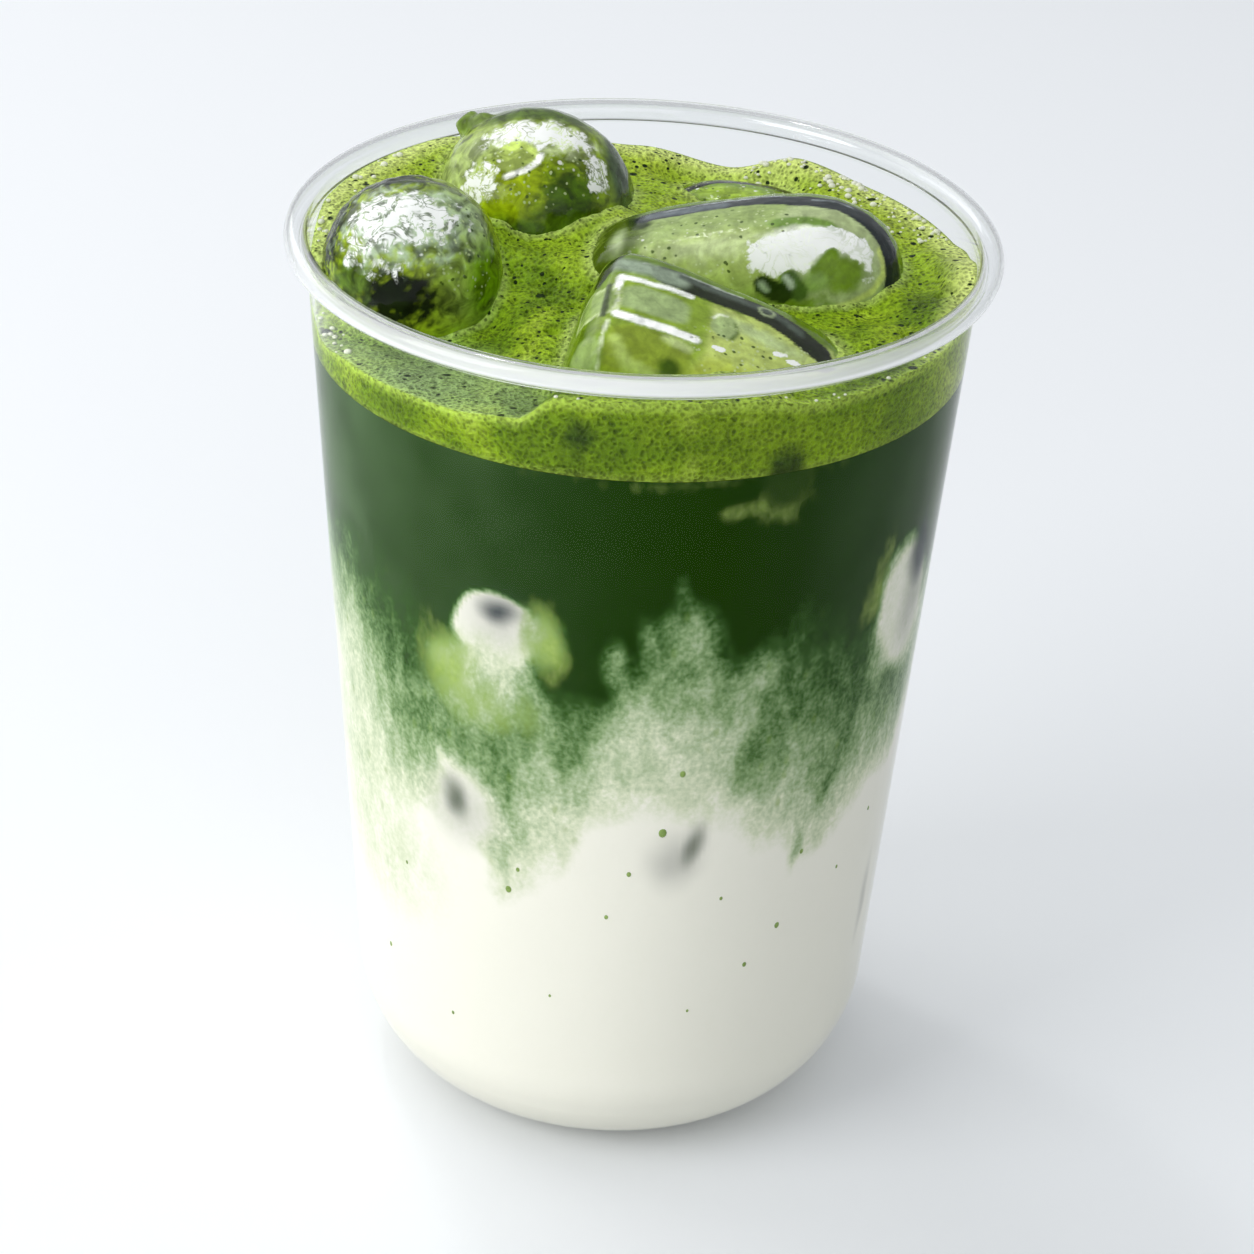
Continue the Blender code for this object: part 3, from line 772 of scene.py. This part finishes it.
def makeFroth(lumps, pockets):
    inset = cup["fillInset"]
    level, high = froth["level"], 118.0 * mm
    reach = wallRadius(high, inset)
    line = [(reach * i / froth["rings"], high) for i in range(froth["rings"] + 1)]
    low = wallRadius(level, inset)
    line += [(reach + (low - reach) * i / 6, high + (level - high) * i / 6) for i in range(1, 7)]
    line.append((0.0, level))
    obj = turned("froth", line, froth["steps"])
    ice = [BVHTree.FromObject(lump, bpy.context.evaluated_depsgraph_get()) for lump in lumps]
    draw = random.Random(7)
    pits = []
    while len(pits) < froth["pits"]:
        x, y = draw.uniform(-40, 40), draw.uniform(-40, 40)
        if math.hypot(x, y) < 40:
            pits.append((Vector((x * mm, y * mm, 0)), draw.choice(froth["pitSizes"]) * mm,
                         draw.uniform(0, math.pi)))
    pits += [(Vector((x * mm, y * mm, 0)), size * mm, turn) for x, y, size, turn in froth["bigPits"]]
    wall = []
    for vert in obj.data.vertices:
        x, y, z = vert.co
        share = math.hypot(x, y) / wallRadius(z, inset)
        if abs(z - high) < 0.01 * mm:
            rise = 1.0
        elif share > 0.99:
            rise = (z - level) / (high - level)
            wall.append(vert.index)
        else:
            continue
        angle = math.atan2(y, x)
        top = frothTop(x, y)
        if rise < 1.0:
            top = level + (frothEdge(x, y) - level) * rise
            radius = wallRadius(top, inset)
            vert.co = (radius * math.cos(angle), radius * math.sin(angle), top)
            continue
        radius = wallRadius(top, inset) * share
        x, y = radius * math.cos(angle), radius * math.sin(angle)
        height = frothTop(x, y)
        calm = min(1.0, (1 - share) * 14)
        p = Vector((x, y, 0)) / mm
        height += noise.fractal(p / 6.5, 0.9, 2.0, 3) * froth["lump"] * calm
        height += noise.noise(p / 1.3) * froth["fizz"] * calm
        near = min(tree.find_nearest(Vector((x, y, height)))[3] for tree in ice)
        height += froth["lip"] * math.exp(-near / froth["lipReach"]) * calm
        for centre, size, turn in pits:
            dx, dy = x - centre.x, y - centre.y
            if abs(dx) < size * 2 and abs(dy) < size * 2:
                along = dx * math.cos(turn) + dy * math.sin(turn)
                across = -dx * math.sin(turn) + dy * math.cos(turn)
                away = math.hypot(along / 1.5, across)
                height -= froth["pitDepth"] * size * max(0.0, 1 - (away / size) ** 2) * calm
        vert.co = (x, y, height)
    obj.data.update()
    for pocket in pockets:
        applied(obj, "BOOLEAN", operation="DIFFERENCE", object=pocket, solver="MANIFOLD")
    markFroth(obj, lumps, ice)
    dress(obj, frothFoam(), ["foam"])
    obj.data.materials.append(darkMatcha())
    for face in obj.data.polygons:
        x, y, z = face.center
        if z < frothTop(x, y) - 1.6 * mm and math.hypot(x, y) < wallRadius(z, inset) - 0.25 * mm:
            face.material_index = 1
    activate(obj)
    bpy.ops.object.shade_smooth()
    return obj


def markFroth(obj, lumps, ice):
    # how close the froth is to ice, to its upper edge on the wall and to a pit
    rows = places(obj)
    near = [min(tree.find_nearest(Vector(row) * mm)[3] for tree in ice) / mm for row in rows]
    near = np.array(near)
    # nearIce also places a painted highlight on the froth that rises beside the ice
    keepNumbers(obj, "nearIce", np.exp(-near / 1.3))
    keepNumbers(obj, "ring", np.exp(-((near - 2.2) / 1.6) ** 2))
    # sunlit: painted light, the froth lighter towards the back
    keepNumbers(obj, "sunlit", ease(-5, 30, rows[:, 1] + rows[:, 0] * 0.2))
    edge = np.array([frothEdge(x, y) / mm for x, y, z in rows])
    radius = np.hypot(rows[:, 0], rows[:, 1])
    wall = np.array([wallRadius(z * mm, 0.35 * mm) / mm for z in rows[:, 2]])
    rim = np.exp(-np.abs(rows[:, 2] - edge) / 1.0) * np.exp(-np.clip(wall - radius, 0, None) / 1.3)
    foot = np.exp(-np.abs(rows[:, 2] - froth["level"] / mm) / 0.7) * (radius > wall - 0.2)
    keepNumbers(obj, "edge", np.clip(rim + foot * 0.6, 0, 1))
    degrees = np.degrees(np.arctan2(rows[:, 0], -rows[:, 1]))
    touching = radius > wall - 0.3
    keepNumbers(obj, "wall", touching)
    middle = np.exp(-((degrees - 10) / 20) ** 2 - ((rows[:, 2] - 113.5) / 3.5) ** 2)
    keepNumbers(obj, "rich", touching * 0.6 * middle)
    # greyed by a painted reflection of the wall where it is seen through the wall, and pale where it thins out
    # against the back of the cup
    low = np.exp(-((degrees + 46) / 30) ** 4) * ease(22, 30, radius) * ease(118, 115.5, rows[:, 2])
    keepNumbers(obj, "mist", low * ~touching)
    behind = ease(60, 90, np.abs(degrees + 10)) * ease(5.0, 0.5, wall - radius)
    keepNumbers(obj, "thin", behind * (1 - 0.75 * touching))
    spots = ((-9.0, 113.9, 1.9), (26.0, 109.6, 2.6))
    dark = np.zeros(len(rows))
    for at, z, size in spots:
        reach = np.hypot((degrees - at) * 0.72, rows[:, 2] - z) / size
        dark = np.maximum(dark, ease(1.3, 0.6, reach) * (radius > wall - 0.5))
    keepNumbers(obj, "dark", dark * 0.92)


def makeBubbles():
    # pale bubbles that gather along the edge of the froth
    draw = random.Random(11)
    moves = []
    for start, end, width, count in froth["bubbles"]:
        for i in range(count):
            angle = math.radians(draw.uniform(start, end))
            edge = frothEdge(math.sin(angle), -math.cos(angle))
            size = draw.choice(froth["bubbleSizes"]) * mm
            radius = wallRadius(edge, cup["wall"] + size) - draw.uniform(0, 1) ** 2 * width * mm
            x, y = radius * math.sin(angle), -radius * math.cos(angle)
            place = Matrix.Translation((x, y, frothTop(x, y) + size * 0.3))
            moves.append(place @ Matrix.Diagonal((size, size, size * 0.7, 1.0)))
    obj = joinedBalls("frothBubbles", moves)
    material, tree = newMaterial("bubbleSkin")  # thin wet skins: pale, shiny, half clear
    shader = addNode(tree, "BsdfPrincipled", None, {
        "Base Color": "#fafce8", "Roughness": 0.15, "IOR": 1.2, "Transmission Weight": 0.2})
    addNode(tree, "OutputMaterial", None, {"Surface": shader})
    return dress(obj, material, [])


def frothFoam():
    # whisked matcha froth: matt, packed with fine bubbles, with dark pinholes where some have burst
    material, tree = newMaterial("matchaFroth")
    place = addNode(tree, "TexCoord").outputs["Object"]
    layer = {name: addNode(tree, "Attribute", name).outputs["Fac"]
             for name in ("nearIce", "ring", "sunlit", "edge", "rich", "dark", "wall", "mist", "thin")}
    pull = drifted(tree, place, 330.0, 0.9 * mm)
    broad = addNode(tree, "TexNoise", None, {"Vector": place, "Scale": 95.0, "Detail": 4.0, "Roughness": 0.6})
    fine = addNode(tree, "TexNoise", None, {"Vector": place, "Scale": 1400.0, "Detail": 2.0, "Roughness": 0.7})
    tone = addNode(tree, "ValToRGB", (
        (0.32, "#3a5006"), (0.45, "#5a760a"), (0.58, "#7f981a"), (0.72, "#abbf4a")), {0: broad})
    color = layColours(tree, tone, (
        (layer["wall"], 0.0, 1.0, 0.35, "#6c8a18"),
        (layer["rich"], 0.0, 1.0, 0.75, "#3c5a04"),
        # painted light makes it lighter towards the back, and it is richest a little way from the ice
        (layer["sunlit"], 0.0, 1.0, 0.6, "#a4b838"),
        (layer["ring"], 0.0, 1.0, 0.5, "#86a41a"),
        # it is paler along its edges on the wall, and pale beside the ice under a painted highlight on the
        # froth that rises there
        (layer["edge"], 0.2, 0.9, 0.75, "#a9c44e"),
        (layer["nearIce"], 0.3, 0.9, 0.85, "#a4b860"),
        # painted reflection of the wall, greying the froth seen through it
        (layer["mist"], 0.0, 1.0, 0.5, "#94aa78"),
        (layer["thin"], 0.0, 1.0, 0.7, "#d3de8a"),
        (layer["dark"], 0.0, 1.0, 1.0, "#263b0e"),
    ))
    # fine bubbles: each has a light skin and a darker middle
    skin = addNode(tree, "TexVoronoi", None, {"Vector": pull, "Scale": 1700.0})
    light = addNode(tree, "MapRange", None, (skin, 0.15, 0.6, 0.66, 1.42))
    grain = addNode(tree, "MapRange", None, (fine, 0.3, 0.7, 0.74, 1.3))
    light = addNode(tree, "Math", "MULTIPLY", (light, grain))
    plain = addNode(tree, "MapRange", None, (layer["wall"], 0.0, 1.0, 1.0, 0.8))
    color = addNode(tree, "Mix", {"data_type": "RGBA", "blend_type": "MULTIPLY"}, (plain, color, light))
    height = light
    sunk = addNode(tree, "MapRange", None, (layer["wall"], 0.0, 1.0, 1.0, 0.45))
    for scale, size, share, deep in ((1500.0, 0.34, 0.38, 0.6), (850.0, 0.26, 0.42, 1.0),
                                     (420.0, 0.20, 0.40, 1.0), (240.0, 0.17, 0.36, 1.0)):
        hole = scatterDots(tree, pull, scale, share, size, size * 0.7, deep, "SMOOTHSTEP")
        hole = addNode(tree, "Math", "MULTIPLY", (hole, sunk))
        color = addNode(tree, "Mix", "RGBA", (hole, color, "#182c04"))
        height = addNode(tree, "Math", "SUBTRACT", (height, hole))
    bump = addNode(tree, "Bump", None, {"Strength": 0.9, "Distance": 0.2 * mm, "Height": height})
    shader = addNode(tree, "BsdfPrincipled", None, {
        "Base Color": color, "Roughness": 0.45, "Normal": bump, "Specular IOR Level": 0.12})
    addNode(tree, "OutputMaterial", None, {"Surface": shader})
    return material


def darkMatcha():
    # tea wetting the hollows round the ice
    material, tree = newMaterial("darkMatcha")
    place = addNode(tree, "TexCoord").outputs["Object"]
    cloudy = addNode(tree, "TexNoise", None, {"Vector": place, "Scale": 160.0, "Detail": 3.0})
    tone = addNode(tree, "ValToRGB", ((0.35, "#1c3109"), (0.7, "#6a8f22")), {0: cloudy})
    shader = addNode(tree, "BsdfPrincipled", None, {"Base Color": tone, "Roughness": 0.3})
    addNode(tree, "OutputMaterial", None, {"Surface": shader})
    return material


# Drink: one body of milk and matcha, clouded where they meet

drink = {
    "steps": 400,
    "row": 0.65 * mm,
    "arc": 0.672,     # millimetres of wall to a degree
    "creaseHalf": 0.35 * mm,
    "creaseDepth": 0.22 * mm,
    "speckInset": 0.34 * mm,
    "speckHalf": 0.09 * mm,
    "layers": (       # degrees round, then heights: milk below, half mixed, tea above
        (-180, 60, 74, 86), (-165, 54, 68, 84), (-150, 52, 66, 84), (-130, 56, 70, 88), (-110, 66, 78, 92),
        (-90, 76, 86, 96), (-80, 71, 82, 92), (-74, 65, 79, 89), (-66, 60, 79, 92), (-61, 59, 77.5, 92),
        (-56, 54, 69, 92), (-51, 50, 63, 94), (-46, 50, 62, 92), (-41, 53, 62.5, 90), (-36, 53, 63.5, 85),
        (-31, 53, 64, 84), (-26, 49, 62, 84), (-21, 42, 60, 85), (-16, 45, 74, 82), (-11, 49, 69, 79),
        (-6, 56, 67.5, 78), (-1, 57, 76, 84), (4, 60, 79, 88), (9, 60, 80, 85), (14, 58, 81, 85),
        (19, 57, 80, 84), (24, 55, 79, 86), (29, 51, 67, 90), (34, 52, 68, 92), (39, 47, 65.5, 90),
        (44, 50, 62, 90), (49, 52, 60, 86), (54, 52, 66, 84), (59, 54, 66, 76), (64, 54, 65, 74),
        (69, 54, 64, 74), (78, 58, 80, 92), (90, 58, 84, 96), (110, 56, 72, 88), (130, 50, 64, 84),
        (150, 56, 70, 84), (168, 62, 76, 86), (180, 60, 74, 86),
    ),
    "haze": (         # degrees round, how strongly a painted reflection of the wall greys the tea, most at the sides
        (-180, 0.3), (-110, 0.8), (-66, 1.0), (-56, 1.0), (-51, 0.8), (-41, 0.62), (-31, 0.45), (-21, 0.36),
        (-11, 0.18), (0, 0.05), (15, 0.0), (30, 0.05), (38, 0.25), (46, 0.35), (54, 0.4), (64, 0.55),
        (70, 0.85), (90, 0.9), (120, 0.4), (180, 0.3),
    ),
    # spots: what, degrees round, height, half width, half height, turn, softness, strength
    "spots": (
        ("tea", 12.0, 85.5, 3.4, 4.5, 14, 0.8, 0.5),       # thin tongue of milk
        ("tea", 13.0, 86.5, 0.9, 4.0, 12, 0.7, 0.5),
        ("tea", 10.0, 92.0, 0.8, 3.2, 8, 0.8, 0.78),
        ("tea", 25.5, 79.5, 2.4, 2.8, 0, 0.8, 0.42),
        ("tea", -1.5, 82.0, 1.5, 3.5, 10, 0.8, 0.55),
        ("tea", 4.5, 86.5, 1.4, 3.0, 8, 0.8, 0.68),
        ("tea", 66.0, 77.0, 7.2, 7.0, 10, 0.7, 0.14),      # pale patch at the right
        ("tea", 62.4, 82.0, 6.2, 9.8, 14, 0.24, 0.05),
        ("tea", 62.0, 70.0, 4.0, 2.2, -14, 0.8, 0.62),
        ("tea", -23.3, 85.0, 5.8, 5.6, 0, 0.10, 0.0),      # milk round the ice near the front
        ("tea", -25.5, 79.5, 5.8, 4.6, 10, 0.6, 0.10),
        ("tea", -34.0, 78.5, 2.2, 1.8, 0, 0.7, 0.36),
        ("tea", -27.0, 74.5, 5.6, 4.6, 10, 0.9, 0.34),
        ("tea", -14.0, 85.6, 2.0, 3.8, 12, 0.8, 0.42),
        ("tea", -63.0, 58.0, 8.0, 14.0, 0, 1.0, 0.18),      # tea drawn down the left side
        ("tea", -52.0, 44.0, 8.0, 7.0, 0, 1.0, 0.10),
        ("tea", -31.5, 57.3, 5.2, 5.4, 0, 0.35, 0.03),     # milk round the low ice
        ("tea", -35.0, 62.3, 0.8, 2.4, 12, 0.6, 0.08),
        ("tea", 8.0, 68.0, 9.0, 5.0, 0, 1.0, 0.2),         # milk low in the middle, clouds beside it
        ("tea", 27.0, 68.5, 2.6, 5.0, -20, 0.9, 0.64),
        ("tea", -8.0, 72.0, 2.4, 4.5, -14, 0.9, 0.68),
        ("tea", 45.5, 61.5, 1.0, 4.0, -30, 0.8, 0.66),     # dark streaks at the right
        ("tea", 38.5, 52.0, 0.6, 3.4, -10, 0.9, 0.34),
        ("warm", -33.5, 77.5, 3.6, 5.4, 20, 1.0, 0.95),
        ("warm", -25.0, 73.5, 6.0, 4.0, 10, 1.0, 0.55),
        ("warm", -13.8, 85.0, 2.3, 4.8, 12, 1.0, 0.85),
        ("warm", 20.5, 104.3, 3.6, 1.0, 6, 0.9, 0.5),
        ("warm", 26.5, 105.4, 3.5, 3.4, 0, 0.6, 0.4),
        ("warm", 51.5, 88.0, 1.8, 5.4, -14, 1.0, 0.7),
        ("warm", 12.0, 108.4, 20.0, 1.0, 0, 0.9, 0.25),
        ("dark", 26.5, 107.2, 2.9, 2.9, 0, 0.3, 0.95),    # painted dark shade where ice lies under the froth
        ("dark", -33.0, 58.0, 1.5, 2.2, 10, 1.0, 0.6),
        ("dark", 15.0, 55.4, 0.9, 2.6, -14, 1.0, 0.6),
        ("grey", -22.6, 88.0, 2.5, 1.8, 6, 1.0, 0.95),    # painted grey shade where ice lies against the wall, seen through milk
        ("grey", -22.6, 86.6, 4.2, 3.4, 6, 1.0, 0.3),
        ("grey", -33.0, 57.6, 2.2, 2.8, 0, 1.0, 0.6),
        ("grey", -31.5, 56.5, 4.6, 4.4, 0, 0.9, 0.28),
        ("grey", 14.2, 54.6, 1.5, 3.2, -14, 1.0, 0.45),
        ("grey", 11.5, 53.0, 3.0, 3.6, -14, 0.9, 0.35),
        ("grey", 67.0, 87.3, 2.6, 4.8, 4, 0.7, 0.95),
        ("grey", 67.5, 82.0, 3.2, 6.5, -8, 0.9, 0.4),
        ("grey", 68.0, 33.0, 0.9, 5.0, -4, 0.9, 0.3),
    ),
    "specks": (       # degrees round, height, size in millimetres
        (-21.0, 46.0, 0.55), (9.0, 57.5, 0.7), (36.0, 39.0, 0.5), (29.0, 34.0, 0.4), (-55.0, 26.6, 0.4),
        (-1.0, 44.0, 0.35), (22.0, 46.0, 0.3), (-19.0, 49.5, 0.35), (-35.0, 22.0, 0.3), (12.0, 66.5, 0.5),
        (3.0, 51.0, 0.4), (52.0, 44.0, 0.3), (-47.0, 43.0, 0.3), (40.0, 50.0, 0.4), (62.0, 50.0, 0.35),
        (-12.0, 30.0, 0.25), (17.0, 28.0, 0.25), (95.0, 40.0, 0.4), (130.0, 36.0, 0.5), (170.0, 45.0, 0.4),
        (-100.0, 48.0, 0.5), (-140.0, 38.0, 0.4),
    ),
}


def makeDrink(pockets):
    inset = cup["fillInset"]
    line = floorLine(inset)
    top = froth["level"] - 0.05 * mm
    rows = round((top - cup["cornerHeight"]) / drink["row"])
    line += [(wallRadius(z, inset), z) for z in (cup["cornerHeight"] + (top - cup["cornerHeight"]) * i / rows
                                                 for i in range(1, rows + 1))]
    line.append((0.0, top))
    line = [(r - drink["creaseDepth"] * math.exp(-((z - cup["ring"]) / drink["creaseHalf"]) ** 2)
             * (r > cup["footRadius"]), z) for r, z in line]
    obj = turned("milkAndMatcha", line, drink["steps"])
    for pocket in pockets:
        applied(obj, "BOOLEAN", operation="DIFFERENCE", object=pocket, solver="MANIFOLD")
    activate(obj)
    bpy.ops.object.shade_smooth_by_angle(angle=math.radians(40))
    paintDrink(obj)
    return dress(obj, cloudedMilk(), ["milk", "matcha"])


def paintDrink(obj):
    rows = places(obj)
    degrees = np.degrees(np.arctan2(rows[:, 0], -rows[:, 1]))
    tall = rows * np.array((1, 1, 0.3))
    wave, wave2 = cloud(rows, 9.0, 1, 2), cloud(rows, 9.0, 2, 2)
    curl, curl2 = cloud(rows, 2.6, 3, 2), cloud(rows, 2.6, 4, 2)
    across = (wave * 2.0 + curl * 0.6) / drink["arc"]
    up = wave2 * 1.8 + curl2 * 0.6
    streak = cloud(tall, 3.0, 6, 2)
    around = (degrees + across + 180) % 360 - 180
    height = rows[:, 2] + up + streak * 0.8
    stops = np.array(drink["layers"], dtype=float)
    low, half, high = (np.interp(around, stops[:, 0], stops[:, i]) for i in (1, 2, 3))
    tea = np.where(height < half, 0.5 * (height - low) / (half - low),
                   0.5 + 0.5 * (height - half) / (high - half))
    values = {"tea": np.clip(tea, 0, 1), "warm": np.zeros(len(rows)), "grey": np.zeros(len(rows)),
              "dark": np.zeros(len(rows))}
    for what, at, z, wide, tallHalf, turn, soft, strength in drink["spots"]:
        dx = ((degrees + across * 0.35 - at + 180) % 360 - 180) * drink["arc"]
        dz = rows[:, 2] + up * 0.35 - z
        c, sn = math.cos(math.radians(turn)), math.sin(math.radians(turn))
        reach = np.hypot((dx * c + dz * sn) / wide, (-dx * sn + dz * c) / tallHalf)
        share = ease(1 + soft, max(0.0, 1 - soft), reach)
        if what == "tea":
            values["tea"] = values["tea"] * (1 - share) + strength * share
        else:
            values[what] = np.maximum(values[what], share * strength)
    haze = np.array(drink["haze"])
    values["haze"] = np.interp(degrees, haze[:, 0], haze[:, 1]) * (0.8 + 0.4 * wave)
    for name, numbers in values.items():
        keepNumbers(obj, name, np.clip(numbers, 0, 1))


def cloudedMilk():
    # whole milk and sieved tea, still mixing: cloudy, matt under the wall of the cup
    material, tree = newMaterial("cloudedMilk")
    place = addNode(tree, "TexCoord").outputs["Object"]
    layer = {name: addNode(tree, "Attribute", name).outputs["Fac"]
             for name in ("tea", "warm", "grey", "dark", "haze")}
    tall = addNode(tree, "Mapping", None, {"Vector": place, "Scale": (1.0, 1.0, 0.55)})
    mottle = addNode(tree, "TexNoise", None, {"Vector": tall, "Scale": 420.0, "Detail": 4.0, "Roughness": 0.6})
    grain = addNode(tree, "TexNoise", None, {"Vector": place, "Scale": 1500.0, "Detail": 2.0})
    # the mottling is strongest where milk and tea are half mixed
    rest = addNode(tree, "Math", "SUBTRACT", (1.0, layer["tea"]))
    between = addNode(tree, "Math", "MULTIPLY", (layer["tea"], rest))
    wide = addNode(tree, "MapRange", None, (between, 0.0, 0.2, 0.02, 1.0))
    share = layer["tea"]
    for pattern, reach in ((mottle, 0.14), (grain, 0.09)):
        shift = addNode(tree, "MapRange", None, (pattern, 0.3, 0.7, -reach, reach))
        share = addNode(tree, "Math", "MULTIPLY_ADD", (shift, wide, share))
    tone = addNode(tree, "ValToRGB", (
        (0.0, "#f5f3e6"), (0.13, "#dbe1c4"), (0.3, "#b6c6a0"), (0.5, "#88a371"), (0.66, "#5f7f4b"),
        (0.82, "#365824"), (0.96, "#183602")), {0: share})
    deep = addNode(tree, "MapRange", None, (share, 0.75, 1.0, 0.0, 0.85))
    # the dark tea is greyed by a painted reflection of the wall, most at the sides
    wallSheenShare = addNode(tree, "Math", "MULTIPLY", (deep, layer["haze"]))
    # yellower where froth has been drawn down
    froths = addNode(tree, "MapRange", None, (mottle, 0.3, 0.7, -0.28, 0.28))
    froths = addNode(tree, "Math", "ADD", (froths, layer["warm"]))
    froths = addNode(tree, "MapRange", None, (froths, 0.15, 1.05, 0.0, 0.9))
    near = addNode(tree, "MapRange", None, (layer["warm"], 0.02, 0.3, 0.0, 1.0))
    froths = addNode(tree, "Math", "MULTIPLY", (froths, near))
    yellow = addNode(tree, "Mix", "RGBA", (grain, "#7d9e32", "#bdd27c"))
    # flecks of unmixed tea, none in clean milk and fewer in dark tea
    fleck = scatterDots(tree, tall, 560.0, 0.3, 0.32, 0.12, 0.55)
    milky = addNode(tree, "MapRange", None, (layer["tea"], 0.02, 0.2, 0.0, 1.0))
    for guide in (milky, rest):
        fleck = addNode(tree, "Math", "MULTIPLY", (fleck, guide))
    color = layColours(tree, tone, (
        (wallSheenShare, 0.0, 1.0, 1.0, "#516b45"),
        (froths, 0.0, 1.0, 1.0, yellow),
        # painted shade, grey and dark, where ice lies against the wall behind the milk and froth
        (layer["grey"], 0.0, 1.0, 1.0, "#2f3b42"),
        (layer["dark"], 0.0, 1.0, 1.0, "#2b4416"),
        (fleck, 0.0, 1.0, 1.0, "#7f9f3c"),
    ))
    shader = addNode(tree, "BsdfPrincipled", None, {
        "Base Color": color, "Roughness": 0.5, "Specular IOR Level": 0.0})
    addNode(tree, "OutputMaterial", None, {"Surface": shader})
    return material


def makeSpecks():
    # small clumps of tea that lie against the wall
    moves = []
    for degrees, z, size in drink["specks"]:
        angle = math.radians(degrees)
        out = Vector((math.sin(angle), -math.cos(angle), 0))
        place = out * (wallRadius(z * mm) - drink["speckInset"]) + Vector((0, 0, z * mm))
        stretch = Matrix.Diagonal((drink["speckHalf"], size * 0.75 * mm, size * mm, 1.0))
        moves.append(Matrix.Translation(place) @ out.to_track_quat("X", "Z").to_matrix().to_4x4() @ stretch)
    obj = joinedBalls("teaSpecks", moves)
    material, tree = newMaterial("wetTeaPowder")  # wet green powder: matt and uneven
    place = addNode(tree, "TexCoord").outputs["Object"]
    cloudy = addNode(tree, "TexNoise", None, {"Vector": place, "Scale": 1500.0, "Detail": 2.0})
    tone = addNode(tree, "ValToRGB", ((0.0, "#5c7a1d"), (1.0, "#9cb765")), {0: cloudy})
    shader = addNode(tree, "BsdfPrincipled", None, {"Base Color": tone, "Roughness": 0.6})
    addNode(tree, "OutputMaterial", None, {"Surface": shader})
    return dress(obj, material, [])


addCamera()
addStudio()
print("camera and studio ready")
makeCup()
print("cup ready")
lumps, pockets = makeIce()
print("ice ready")
makeFroth(lumps, pockets)
makeBubbles()
print("froth ready")
makeDrink(pockets)
makeSpecks()
print("drink ready")
for pocket in pockets:
    bpy.data.objects.remove(pocket, do_unlink=True)
